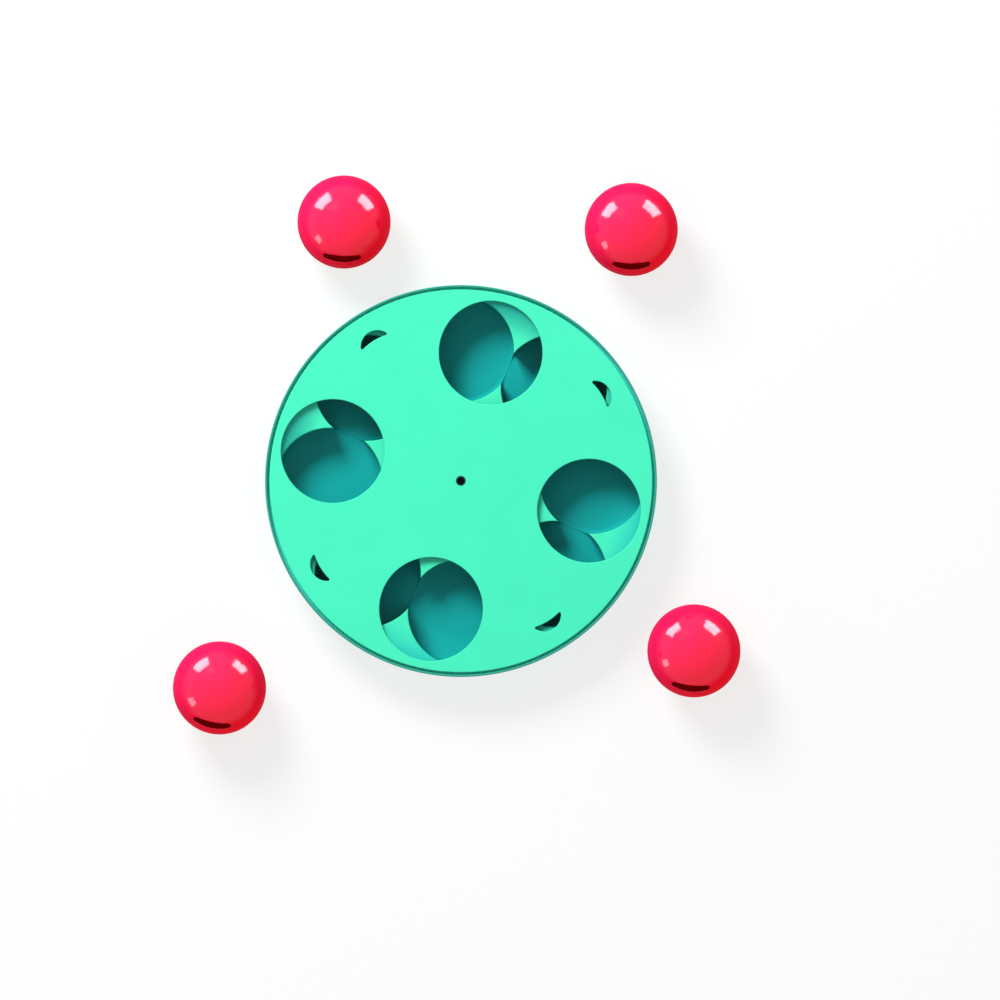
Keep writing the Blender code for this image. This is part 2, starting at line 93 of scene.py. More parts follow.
MINT_DIP = 0.965  # how dark the mottle of the mint gets
PLAIN_DIP = 0.93  # how dark the mottle of other plastics gets
HOLLOW_SHADE_TONE = (0.002, 0.16, 0.15)  # painted shade: what the hollows throw back of the light that bounces there
SCUFF_TONE = (0.9, 0.95, 0.93)
# Painted glow of the balls, inside and outside
INNER_PAINTED_GLOW = (0.05, 0.0, 0.0015)
OUTER_PAINTED_GLOW = (1.0, 0.002, 0.012)
# Painted shade on the balls: the side where the red turns from rose to scarlet, away from the key lamp
SHADED_SIDE = Vector((0.68, -0.68, -0.25)).normalized()
SHADE_AT_MIDDLE = 0.42  # painted shade: how far from rose to scarlet a ball is halfway to its shaded side
SHADE_SPREAD = 0.66  # how much further it is on the shaded side
LOW_GLOW = 0.3  # painted glow of a ball's lower half, as a share of the most
GLOW_RISE = 0.8  # how fast that painted glow grows towards the top
LIT_SIDE_GLOW = 0.45  # painted glow of the lit side, as a share of the shaded side's

KEY_PLACE = (-1.24, 2.04, 2.14)
KEY_TARGET = (0, 0, 0.03)
KEY_WIDTH = 1.2
CARD_REACH = 2.0  # metres from the axis to each card
CARD_TONE = (1.0, 0.9, 0.98)
CARDS = {  # bearing in degrees, height, width, tallness, share of the power
    "card_right": (47, 0.48, 1.1, 0.95, 1.0),
    "card_left": (133, 0.48, 1.1, 0.95, 1.0),
    "card_small": (208, 0.31, 0.48, 0.58, 0.1),
}
FLOOR_WIDTH = 12.0
FLOOR_LIT = (0.8, 0.8, 0.8)  # what the floor throws back onto the pieces
FLOOR_SEEN = (0.25, 0.25, 0.25)  # how strongly the floor in view shows light and shadow
FLOOR_GLOW = 0.76  # lifts the floor in view to white
SENSOR = 36.0


def named(group):
    """Name each property of a group after its attribute."""
    for key, made in group.__annotations__.items():
        made.keywords["name"] = key.replace("_", " ").capitalize()
    return group


def number(description, default):
    """A count of like shapes."""
    return bpy.props.IntProperty(description=description, default=default, min=1)


def amount(description, default, **kind):
    """A real number that isn't negative."""
    return bpy.props.FloatProperty(description=description, default=default, min=0.0, **kind)


def length(description, default):
    """A size in metres."""
    return amount(description, default, precision=5, unit="LENGTH")


def mm(description, default):
    """A size whose default is in millimetres."""
    return length(description, default * MM)


def share(description, default):
    """A factor between nothing and all."""
    return amount(description, default, max=1.0, subtype="FACTOR")


def power(description, default):
    """Power of a lamp in watts."""
    return amount(description, default, unit="POWER")


def colour(description, default):
    """A linear colour."""
    return bpy.props.FloatVectorProperty(
        description=description, default=default, size=3, min=0.0, max=1.0, subtype="COLOR"
    )


@named
class TraySettings(bpy.types.PropertyGroup):
    """Sizes and colours of the tray."""
    radius: length("From the axis to the outside of the rim", TRAY_HIGH.x)
    rim_top: length("Height of the rim above the ground", TRAY_HIGH.z)
    rim_wall: mm("Width of the rim seen from above", 1.6)
    skirt_bottom: length("Height of the skirt's lower edge above the ground", TRAY_LOW.z)
    skirt_wall: mm("Thickness of the skirt", 2.4)
    skirt_lean: mm("How far the skirt leans in towards its lower edge", 3.0)
    deck_top: mm("Height of the flat deck above the ground", 32.0)
    deck_thickness: mm("Thickness of the deck", 2.4)
    glide_radius: mm("Inner radius of the ring that carries the disc", 133.0)
    glide_width: mm("Width of the ring that carries the disc", 2.5)
    glide_height: mm("Height of that ring above the deck", 1.7)
    well_count: number("Number of wells", 8)
    well_pitch: mm("From the axis to the middle of a well", 94.0)
    well_radius: mm("Radius of a well", 37.8)
    well_floor: mm("Height of a well's floor above the ground", 5.8)
    well_cove: mm("Rounding between a well's wall and its floor", 3.0)
    land_start: mm("From the ring of the wells' middles to where the lands curve up", 14.0)
    land_rise: mm("How high the lands curve up towards the rim", 1.0)
    land_cove: mm("How much higher that curve seems in the light", 8.0)
    floor_thickness: mm("Thickness of a well's floor", 2.5)
    cup_wall: mm("Thickness of a well's wall", 2.2)
    arris: mm("Rounding along the edges of the lands", 0.8)
    socket_radius: mm("Radius of the socket that the disc turns in", 12.3)
    socket_floor: mm("Height of the socket's floor above the ground", 22.0)
    hub_wall: mm("Thickness of the hub", 2.4)
    post_radius: mm("Radius of the post that takes the screw", 4.0)
    pilot_radius: mm("Radius of the hole in that post", 1.8)
    rib_thickness: mm("Thickness of the ribs below the deck", 2.0)
    rib_depth: mm("How far the ribs reach below the deck", 18.0)
    foot_ring_radius: mm("Inner radius of the ring round a foot", 9.3)
    foot_ring_wall: mm("Width of that ring", 1.5)
    foot_ring_height: mm("Height of that ring below a cup", 1.3)
    mint: colour("Colour of the rim, the deck and the skirt", (0.074, 0.970, 0.580))
    # Painted shade colours: the wells, the outer lands and the underside; the groove; the rim's upper edge
    teal: colour("Deeper colour of the wells, the outer lands and the underside", (0.010, 0.51, 0.485))
    groove: colour("Colour of the groove round the disc", (0.10, 0.88, 0.80))
    edge: colour("Colour of the rim's upper edge", (0.040, 0.42, 0.31))


@named
class DiscSettings(bpy.types.PropertyGroup):
    """Sizes and colours of the turning disc."""
    radius: mm("Radius of the disc", 136.8)
    top: length("Height of the disc's top above the ground", DISC_HIGH.z)
    thickness: mm("Thickness of the disc", 3.0)
    arris: mm("Rounding along the disc's edges", 0.7)
    hole_count: number("Number of holes", 4)
    hole_pitch: mm("From the axis to the middle of a hole", 94.0)
    hole_radius: mm("Radius of a hole", 37.0)
    turn: bpy.props.FloatProperty(
        description="Where the disc stands at rest", default=math.radians(-13.1), unit="ROTATION"
    )
    slot_chord: mm("From end to end of a half-moon slot's inner edge", 22.5)
    slot_rise: mm("From that edge to the top of the slot's arc", 8.2)
    slot_radius: mm("From the axis to the ends of that edge", 116.4)
    slot_hollow: mm("How far that edge curves out in its middle", 1.6)
    slot_corner: mm("Rounding of a slot's two corners", 0.9)
    journal_radius: mm("Radius of the journal below the disc", 12.0)
    journal_bottom: length("Height of the journal's lower end", DISC_LOW.z)
    bore_radius: mm("Radius of the bore that runs on the bushing", 2.7)
    counterbore_radius: mm("Radius of the hole over the washer", 3.5)
    mint: colour("Colour of the disc", (0.080, 0.985, 0.595))
    # Painted shade colour of the disc's underside
    teal: colour("Deeper colour of its underside", (0.003, 0.30, 0.28))


@named
class PivotSettings(bpy.types.PropertyGroup):
    """Sizes of the screw, the washer and the bushing that the disc turns on."""
    hole_radius: mm("Radius of the hole through bushing and washer", 1.8)
    bushing_radius: length("Outer radius of the bushing", BUSHING_HIGH.x)
    washer_radius: length("Outer radius of the washer", WASHER_HIGH.x)
    head_radius: length("Radius of the screw's head", SCREW_HIGH.x)
    head_height: mm("Height of the screw's head", 2.0)
    shank_radius: mm("Radius of the screw over its thread", 1.5)
    thread_pitch: mm("Distance between two turns of the thread", 0.7)
    thread_depth: mm("Depth of the thread", 0.25)


@named
class FootSettings(bpy.types.PropertyGroup):
    """Sizes of the rubber feet."""
    count: number("Number of outer feet", 4)
    pitch: mm("From the axis to the middle of an outer foot", 94.0)
    radius: mm("Radius of an outer foot", 9.0)
    height: length("Height of every foot", FOOT_TOP)
    hub_radius: mm("Radius of the middle foot", 14.7)
    plug_radius: mm("Radius of the plug inside the hub", 12.0)
    plug_top: length("Height of that plug's top above the ground", HUB_FOOT_TOP)
    edge: mm("Rounding of a foot's lower edge", 0.8)
    groove: mm("Depth of the grip grooves", 0.5)


@named
class BallSettings(bpy.types.PropertyGroup):
    """Sizes and colours of the weighted treat balls."""
    radius: length("Outer radius of a ball", BALL_TOP / 2)
    breadth: share("Share of its breadth with which a ball stays in the flat-sided solid's box", 0.994)
    wall: mm("Thickness of both shells", 2.2)
    clearance: mm("Gap between pieces that fit together", 0.3)
    lip: mm("Rounding along the seam and the mouth", 0.4)
    collar_height: mm("Height of the lower shell's collar above the middle", 5.0)
    collar_wall: mm("Thickness of that collar", 1.8)
    mouth_length: mm("From end to end of the mouth", 27.0)
    mouth_width: mm("Width of the mouth seen from above", 4.6)
    mouth_distance: mm("From the ball's axis to the middle of the mouth", 27.1)
    mouth_bend: mm("Radius of the mouth's bend", 38.5)
    mouth_corner: mm("Rounding of the mouth's corners", 1.3)
    mouth_taper: share("How much narrower the mouth is at its two ends", 0.35)
    mouth_turns: bpy.props.FloatVectorProperty(
        description="How far each ball's mouth is turned about its axis", size=4,
        default=[math.radians(turn) for turn in (-3.0, 0.0, -6.0, -11.5)], unit="ROTATION",
    )
    pocket_floor: mm("Height of the weight's pocket above the ball's lowest point", 5.4)
    pocket_wall: mm("Thickness of the ring round the pocket", 2.0)
    weight_radius: mm("Radius of the weight", 14.5)
    weight_height: mm("Height of the weight", 5.0)
    boss_radius: mm("Radius of the boss in the pocket's middle", 3.0)
    cover_thickness: mm("Thickness of the plate over the weight", 2.0)
    shank_radius: mm("Radius of the cover screw over its thread", 1.2)
    thread_pitch: mm("Distance between two turns of its thread", 0.6)
    thread_depth: mm("Depth of its thread", 0.2)
    head_radius: mm("Radius of the cover screw's head", 2.6)
    head_height: mm("Height of the cover screw's head", 1.6)
    # Rose and scarlet are painted light and shade: rose on the lit side, scarlet on the shaded side
    rose: colour("Lighter red of the ball's upper and far side", (0.84, 0.010, 0.106))
    scarlet: colour("Deeper red of the ball's lower and near side", (0.86, 0.0, 0.012))
    # The glow is painted light: the shells give off light of their own, most on their upper and shaded side
    glow: share("How much the thin red shells glow with the light that passes through them", 0.5)


@named
class StageSettings(bpy.types.PropertyGroup):
    """Camera, floor and light."""
    view_width: mm("Width that the camera sees at the disc's height", 714.3)
    camera_height: length("From the disc to the camera", 12.0)
    center: bpy.props.FloatVectorProperty(
        description="Point below the camera", size=2, default=(27.9 * MM, -13.6 * MM),
        precision=5, unit="LENGTH",
    )
    sky: share("Strength of the even light from all round", 0.37)
    key_power: power("Power of the large soft lamp", 96.0)
    card_power: power("Power of the lamps that the balls mirror", 80.0)


# Modelling helpers

def pick(piece):
    """Select one object alone, and make it active."""
    bpy.ops.object.select_all(action="DESELECT")
    piece.select_set(True)
    bpy.context.view_layer.objects.active = piece


def started(name, operator, **settings):
    """Add an object by its operator, and name it."""
    bpy.ops.object.select_all(action="DESELECT")
    operator(**settings)
    bpy.context.object.name = name
    return bpy.context.object


def sewn(piece):
    """Merge what meets, turn all faces outwards, and leave Edit Mode."""
    bpy.ops.mesh.select_all(action="SELECT")
    bpy.ops.mesh.remove_doubles(threshold=MERGE)
    bpy.ops.mesh.normals_make_consistent(inside=False)
    bpy.ops.object.mode_set(mode="OBJECT")
    return piece


def rounded(corners, closed=False):
    """Points of an outline whose (across, up, radius) corners become arcs."""
    points = []
    last = len(corners) - 1
    for index, (across, up, radius) in enumerate(corners):
        corner = Vector((across, up))
        if radius <= 0 or (not closed and index in (0, last)):
            points.append(corner)
            continue
        before = (Vector(corners[index - 1][:2]) - corner).normalized()
        after = (Vector(corners[(index + 1) % len(corners)][:2]) - corner).normalized()
        half = before.angle(after) / 2
        middle = corner + (before + after).normalized() * (radius / math.sin(half))
        start = corner + before * (radius / math.tan(half)) - middle
        sweep = math.pi - 2 * half
        side = -1 if before.cross(after) > 0 else 1
        steps = max(2, math.ceil(math.degrees(sweep) / ARC_STEP))
        for step in range(steps + 1):
            points.append(middle + Matrix.Rotation(side * sweep * step / steps, 2) @ start)
    return points


def arc(radius, start, end, steps, middle=(0.0, 0.0)):
    """Points along an arc, both ends included."""
    angles = [start + (end - start) * step / steps for step in range(steps + 1)]
    return [Vector((middle[0] + radius * math.cos(a), middle[1] + radius * math.sin(a))) for a in angles]


def turned(name, corners, steps, closed=False):
    """Extrude a vertex along half a section, and spin that about Z."""
    path = rounded(corners, closed)
    path += path[:1] if closed else []
    piece = started(name, bpy.ops.mesh.primitive_plane_add, size=MM)
    bpy.ops.object.mode_set(mode="EDIT")
    bpy.ops.mesh.merge(type="CENTER")
    bpy.ops.transform.translate(value=(path[0].x, 0, path[0].y))
    for here, there in zip(path, path[1:]):
        step = there - here
        if step.length >= MERGE:
            bpy.ops.mesh.extrude_vertices_move(TRANSFORM_OT_translate={"value": (step.x, 0, step.y)})
    bpy.ops.mesh.select_all(action="SELECT")
    bpy.ops.mesh.spin(steps=steps, angle=math.tau, center=(0, 0, 0), axis=(0, 0, 1))
    return sewn(piece)


def place_ring(piece, points):
    """Put the selected ring of vertices on its points."""
    mesh = bmesh.from_edit_mesh(piece.data)
    ring = [vertex for vertex in mesh.verts if vertex.select]
    for vertex, point in zip(ring, points, strict=True):
        vertex.co = point
    bmesh.update_edit_mesh(piece.data)


def lofted(name, loops, closed=False):
    """Extrude a ring of vertices from loop to loop. An open loft is capped, a closed one meets itself."""
    count = len(loops[0])
    fill = "NOTHING" if closed else "NGON"
    piece = started(name, bpy.ops.mesh.primitive_circle_add, vertices=count, radius=MM, fill_type=fill)
    bpy.ops.object.mode_set(mode="EDIT")
    place_ring(piece, loops[0])
    for loop in loops[1:] + (loops[:1] if closed else []):
        bpy.ops.mesh.extrude_region_move(TRANSFORM_OT_translate={"value": (0, 0, 0)})
        place_ring(piece, loop)
    return sewn(piece)


def copied(model, name):
    """A further object with a mesh of its own."""
    pick(model)
    bpy.ops.object.duplicate()
    bpy.context.object.name = name
    return bpy.context.object


def set_down(piece, place=(0, 0, 0), turn=0.0):
    """Turn a piece about Z, move it, and apply both and its scale to its mesh."""
    piece.rotation_euler.z = turn
    piece.location = place
    pick(piece)
    bpy.ops.object.transform_apply(location=True, rotation=True, scale=True)
    return piece


def block(name, sides, place, turn=0.0):
    """Box with its middle at a place."""
    piece = started(name, bpy.ops.mesh.primitive_cube_add, size=1.0)
    piece.scale = sides
    return set_down(piece, place, turn)


def spread(model, count, reach, first=0.0):
    """A model and its copies, at even spaces round the axis."""
    copies = [model] + [copied(model, model.name) for _ in range(count - 1)]
    for index, piece in enumerate(copies):
        angle = first + math.tau * index / count
        set_down(piece, (reach * math.cos(angle), reach * math.sin(angle), 0), angle)
    return copies


def combine(piece, tools, operation):
    """Join tools to a piece, or cut them from it, in one Boolean."""
    group = bpy.data.collections.new("tools")
    for tool in tools:
        group.objects.link(tool)
    pick(piece)
    modifier = piece.modifiers.new("combine", "BOOLEAN")
    modifier.operation = operation
    modifier.solver = "EXACT"
    modifier.operand_type = "COLLECTION"
    modifier.collection = group
    bpy.ops.object.modifier_apply(modifier=modifier.name)
    for tool in tools:
        bpy.data.objects.remove(tool)
    bpy.data.collections.remove(group)
    bpy.ops.object.mode_set(mode="EDIT")
    bpy.ops.mesh.select_all(action="SELECT")
    bpy.ops.mesh.remove_doubles(threshold=CLEAN)
    bpy.ops.object.mode_set(mode="OBJECT")


def smooth(piece):
    """Shade smooth, with sharp edges kept and flat faces left flat."""
    pick(piece)
    bpy.ops.object.shade_smooth_by_angle(angle=SHARP)
    modifier = piece.modifiers.new("normals", "WEIGHTED_NORMAL")
    modifier.keep_sharp = True
    bpy.ops.object.modifier_apply(modifier=modifier.name)
    return piece


def seat(piece, node, body, finish):
    """Give a piece its material, and put it on the frame in place of its node."""
    piece.data.materials.clear()
    piece.data.materials.append(finish)
    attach(piece, body)
    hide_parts(node)


# Material helpers

def feed(tree, node, inputs):
    """Give inputs of a node their values, or link them to sockets. A colour comes without its alpha."""
    for key, value in inputs.items():
        socket = node.inputs[key]
        if isinstance(value, bpy.types.NodeSocket):
            tree.links.new(value, socket)
        elif socket.type == "RGBA":
            socket.default_value = (*value, 1.0)
        else:
            socket.default_value = value


def add(tree, kind, inputs=None, **settings):
    """Add a shader node with its settings and inputs."""
    made = tree.nodes.new("ShaderNode" + kind)
    for key, value in settings.items():
        setattr(made, key, value)
    feed(tree, made, inputs or {})
    return made


def noise(tree, vector, scale, detail=2.0, roughness=0.5):
    """Value of a noise texture."""
    inputs = {"Vector": vector, "Scale": scale, "Detail": detail, "Roughness": roughness}
    return add(tree, "TexNoise", inputs).outputs["Fac"]


def remap(tree, value, low, high, to_low=0.0, to_high=1.0):
    """Map a value from one range to another and hold it there."""
    inputs = {"Value": value, "From Min": low, "From Max": high, "To Min": to_low, "To Max": to_high}
    return add(tree, "MapRange", inputs).outputs["Result"]


def calc(tree, operation, first, *others):
    """Combine values, each a socket or a number, one after the other."""
    for other in others:
        first = add(tree, "Math", {0: first, 1: other}, operation=operation).outputs["Value"]
    return first


def mix(tree, factor, first, second):
    """Blend two colours, each a socket or an RGB value, by a factor socket."""
    node = add(tree, "Mix", {"Factor": factor}, data_type="RGBA")
    sides = [index for index, socket in enumerate(node.inputs) if socket.type == "RGBA"]
    feed(tree, node, dict(zip(sides, (first, second))))
    return next(socket for socket in node.outputs if socket.type == "RGBA")


def bump(tree, height, strength, distance):
    """Normal of a surface with a height."""
    return add(tree, "Bump", {"Height": height, "Strength": strength, "Distance": distance}).outputs["Normal"]


def stored(tree, name):
    """Value that the mesh keeps on its vertices."""
    return add(tree, "Attribute", attribute_name=name).outputs["Fac"]


def height_of(tree, place):
    """Height above the ground."""
    return add(tree, "SeparateXYZ", {"Vector": place}).outputs["Z"]


def reach_of(tree, place):
    """Distance from the disc's axis."""
    flat = add(tree, "VectorMath", {0: place, 1: (1.0, 1.0, 0.0)}, operation="MULTIPLY")
    return add(tree, "VectorMath", {0: flat.outputs["Vector"]}, operation="LENGTH").outputs["Value"]


def group_of(fill, labels):
    """A shader group, made the first time it is asked for. Its fill turns inputs into named outputs."""
    name = fill.__name__.replace("_", " ").capitalize()
    if name in bpy.data.node_groups:
        return bpy.data.node_groups[name]
    tree = bpy.data.node_groups.new(name, "ShaderNodeTree")
    for label in labels:
        kind = "NodeSocketVector" if label == "Vector" else "NodeSocketFloat"
        tree.interface.new_socket(label, in_out="INPUT", socket_type=kind)
    made = fill(tree, tree.nodes.new("NodeGroupInput").outputs)
    for label in made:
        tree.interface.new_socket(label, in_out="OUTPUT", socket_type="NodeSocketFloat")
    feed(tree, tree.nodes.new("NodeGroupOutput"), made)
    return tree


def place_group(tree, fill, **inputs):
    """Put a shader group in a material's tree. Returns its outputs."""
    return add(tree, "Group", inputs, node_tree=group_of(fill, inputs)).outputs


def moulded_grain(tree, given):
    """Skin of a moulding: a fine height, and a broad mottle for colour and gloss."""
    broad = noise(tree, given["Vector"], 38.0, detail=3.0, roughness=0.55)
    return {
        "Height": noise(tree, given["Vector"], given["Grain"], detail=3.0, roughness=0.6),
        "Mottle": remap(tree, broad, 0.3, 0.7),
    }


def handling_marks(tree, given):
    """Fine scuffs that cross each other in patches, as claws and fingers leave them."""
    masks = []
    for turn, offset in ((0.35, 0.0), (1.25, 0.31), (2.3, 0.77)):
        place = add(tree, "Mapping", {
            "Vector": given["Vector"], "Rotation": (0.0, 0.0, turn),
            "Location": (offset, offset, 0.0), "Scale": (1300.0, 70.0, 70.0),
        })
        line = noise(tree, place.outputs["Vector"], 1.0, detail=1.0)
        masks.append(remap(tree, line, 0.70, 0.78))
    patch = remap(tree, noise(tree, given["Vector"], 21.0), 0.48, 0.68)
    return {"Scuffs": calc(tree, "MULTIPLY", calc(tree, "MAXIMUM", *masks), patch)}


def metal_lay(tree, given):
    """Uneven tone and fine lines of worked steel."""
    place = add(tree, "Mapping", {"Vector": given["Vector"], "Scale": (180.0, 2600.0, 2600.0)})
    lines = noise(tree, place.outputs["Vector"], 1.0)
    spots = noise(tree, given["Vector"], 700.0, detail=3.0)
    return {"Tone": calc(tree, "MULTIPLY", lines, spots), "Height": lines}


def new_finish(name):
    """A material with its tree, its shader and the piece's own coordinates."""
    finish = bpy.data.materials.new(name)
    finish.use_nodes = True
    tree = finish.node_tree
    return finish, tree, tree.nodes["Principled BSDF"], add(tree, "TexCoord").outputs["Object"]


def moulded_plastic(name, base, roughness, grain=900.0, depth=0.06 * MM, level=0.12):
    """Moulded plastic. Its base takes a tree, a place and a mottle, and returns a colour socket."""
    finish, tree, shader, place = new_finish(name)
    skin = place_group(tree, moulded_grain, Vector=place, Grain=grain)
    scuffs = place_group(tree, handling_marks, Vector=place)["Scuffs"]
    pale = calc(tree, "MULTIPLY", scuffs, 0.02)
    dull = calc(tree, "MULTIPLY", scuffs, 0.08)
    uneven = remap(tree, skin["Mottle"], 0.0, 1.0, roughness - 0.03, roughness + 0.04)
    feed(tree, shader, {
        "Base Color": mix(tree, pale, base(tree, place, skin["Mottle"]), SCUFF_TONE),
        "Roughness": calc(tree, "ADD", uneven, dull),
        "Specular IOR Level": level,
        "Normal": bump(tree, skin["Height"], 0.35, depth),
    })
    return finish


def mottled(tree, mottle, tone, dip):
    """A tone that wanders down to a close, darker one."""
    return mix(tree, mottle, [part * dip for part in tone], tone)


def deepened(tree, mottle, size, factor):
    """The mint of a piece, which turns into its painted shade colour by a factor."""
    plain = mottled(tree, mottle, size.mint, MINT_DIP)
    return mix(tree, factor, plain, mottled(tree, mottle, size.teal, PLAIN_DIP))


def dim_bounce(base, limit):
    """The same base with painted shade: inside a limit it throws less light back into the hollows, which
    darkens them.
    """
    def dimmed(tree, place, mottle):
        bounced = add(tree, "LightPath").outputs["Is Diffuse Ray"]
        inside = remap(tree, reach_of(tree, place), limit, limit - 1.0 * MM)
        # Painted shade: bounced light inside the limit takes the dark hollow tone
        shaded_bounce = calc(tree, "MULTIPLY", bounced, inside)
        return mix(tree, shaded_bounce, base(tree, place, mottle), HOLLOW_SHADE_TONE)
    return dimmed


def disc_finish(size):
    """Satin mint plastic, with painted shade in a darker tone on its underside, which is out of view."""
    under = size.top - size.thickness

    def base(tree, place, mottle):
        # painted shade: the disc's underside turns to its shade colour
        below = remap(tree, height_of(tree, place), under + 0.8 * MM, under + 0.2 * MM)
        return deepened(tree, mottle, size, below)
    return moulded_plastic("disc mint plastic", dim_bounce(base, size.radius - 3.0 * MM), roughness=0.42)


def tray_finish(size):
    """Mint plastic, with painted shade in the wells and on the outer lands. The groove and the rim's upper
    edge have own painted shade tones.
    """
    deck = size.deck_top
    glide = size.glide_radius
    glide_outer = glide + size.glide_width
    rim_inner = size.radius - size.rim_wall

    def base(tree, place, mottle):
        height = height_of(tree, place)
        reach = reach_of(tree, place)
        # Painted shade: the shade colour grows down the wells and below the deck, and towards the outer lands
        depth = remap(tree, height, deck - 3.0 * MM, size.well_floor + 2.0 * MM)
        land = remap(tree, reach, size.well_pitch + 16.0 * MM, size.well_pitch + size.well_radius, 0.0, 0.8)
        inside = remap(tree, reach, glide, glide - 1.0 * MM)
        painted_shade_factor = calc(tree, "MULTIPLY", calc(tree, "MAXIMUM", depth, land), inside)
        # Painted shade tone in the groove round the disc
        past_glide = remap(tree, reach, glide_outer - 0.2 * MM, glide_outer)
        before_rim = remap(tree, reach, rim_inner + 0.6 * MM, rim_inner + 0.2 * MM)
        above_deck = remap(tree, height, deck - 1.0 * MM, deck)
        groove = calc(tree, "MULTIPLY", past_glide, before_rim, above_deck)
        # Painted shade tone on the rim's upper edge
        on_rim = remap(tree, reach, rim_inner - 0.4 * MM, rim_inner)
        high = remap(tree, height, TRAY_HIGH.z - 1.2 * MM, TRAY_HIGH.z - 0.4 * MM)
        tone = mix(tree, groove, deepened(tree, mottle, size, painted_shade_factor), size.groove)
        return mix(tree, calc(tree, "MULTIPLY", on_rim, high), tone, size.edge)
    finish = moulded_plastic("tray mint plastic", dim_bounce(base, glide), roughness=0.46)
    cove_lands(finish.node_tree, size)
    return finish


def cove_lands(tree, size):
    """Let the light show the lands' curve towards the rim more strongly."""
    skin = next(node for node in tree.nodes if node.type == "BUMP")
    reach = reach_of(tree, add(tree, "TexCoord").outputs["Object"])
    way = remap(tree, reach, size.well_pitch + size.land_start, size.glide_radius)
    feed(tree, skin, {"Normal": bump(tree, calc(tree, "MULTIPLY", way, way), 1.0, size.land_cove)})


def ball_finish(size):
    """Polished red plastic with painted light and shade from a rose lit side to a scarlet shaded side, and a
    painted glow. It is made the first time it is asked for.
    """
    name = "ball red plastic"
    if name in bpy.data.materials:
        return bpy.data.materials[name]

    def base(tree, place, mottle):
        # Painted light and shade: rose on the lit side, scarlet on the shaded side
        return mix(tree, stored(tree, "warmth"), size.rose, size.scarlet)
    finish = moulded_plastic(name, base, roughness=0.3, grain=420.0, depth=0.02 * MM, level=0.0)
    tree = finish.node_tree
    facing = add(tree, "LayerWeight", {"Blend": 0.5}).outputs["Facing"]
    feed(tree, tree.nodes["Principled BSDF"], {
        # Painted glow: the shells give off red light of their own, most on the outside
        "Emission Color": mix(tree, stored(tree, "outside"), INNER_PAINTED_GLOW, OUTER_PAINTED_GLOW),
        "Emission Strength": size.glow,
        "Coat Weight": remap(tree, facing, 0.29, 0.43, 0.62, 0.06),
        "Coat Roughness": 0.11,
    })
    return finish


def plain_plastic(name, tone, roughness):
    """Plain moulded plastic of one tone."""
    def base(tree, place, mottle):
        return mottled(tree, mottle, tone, PLAIN_DIP)
    return moulded_plastic(name, base, roughness)


def rubber_finish():
    """Matt dark rubber with a dusty bloom."""
    finish, tree, shader, place = new_finish("foot rubber")
    skin = place_group(tree, moulded_grain, Vector=place, Grain=1500.0)
    feed(tree, shader, {
        "Base Color": mix(tree, skin["Mottle"], (0.016, 0.017, 0.018), (0.034, 0.036, 0.036)),
        "Roughness": remap(tree, skin["Mottle"], 0.0, 1.0, 0.78, 0.92),
        "Specular IOR Level": 0.3,
        "Normal": bump(tree, skin["Height"], 0.6, 0.12 * MM),
    })
    return finish


def steel_finish(name, light, dark, roughness, metallic=1.0, level=0.5):
    """Worked steel, bare or coated."""
    finish, tree, shader, place = new_finish(name)
    lay = place_group(tree, metal_lay, Vector=place)
    feed(tree, shader, {
        "Base Color": mix(tree, lay["Tone"], dark, light),
        "Roughness": remap(tree, lay["Tone"], 0.0, 0.6, roughness + 0.1, roughness - 0.08),
        "Metallic": metallic,
        "Specular IOR Level": level,
        "Normal": bump(tree, lay["Height"], 0.25, 0.02 * MM),
    })
    return finish


def black_steel():
    """Screw steel with a matt black coat, made the first time it is asked for."""
    name = "black screw steel"
    if name in bpy.data.materials:
        return bpy.data.materials[name]
    return steel_finish(name, (0.006, 0.007, 0.007), (0.002, 0.002, 0.003), 0.5, metallic=0.0, level=0.1)


# Tray

def land_curve(size):
    """Corners along the outer deck, which curves up a little towards the glide ring."""
    start = size.well_pitch + size.land_start
    width = size.glide_radius - start
    steps = 6
    shares = [step / steps for step in range(steps)]
    return [(start + width * part, size.deck_top + size.land_rise * part ** 2, 0) for part in shares]


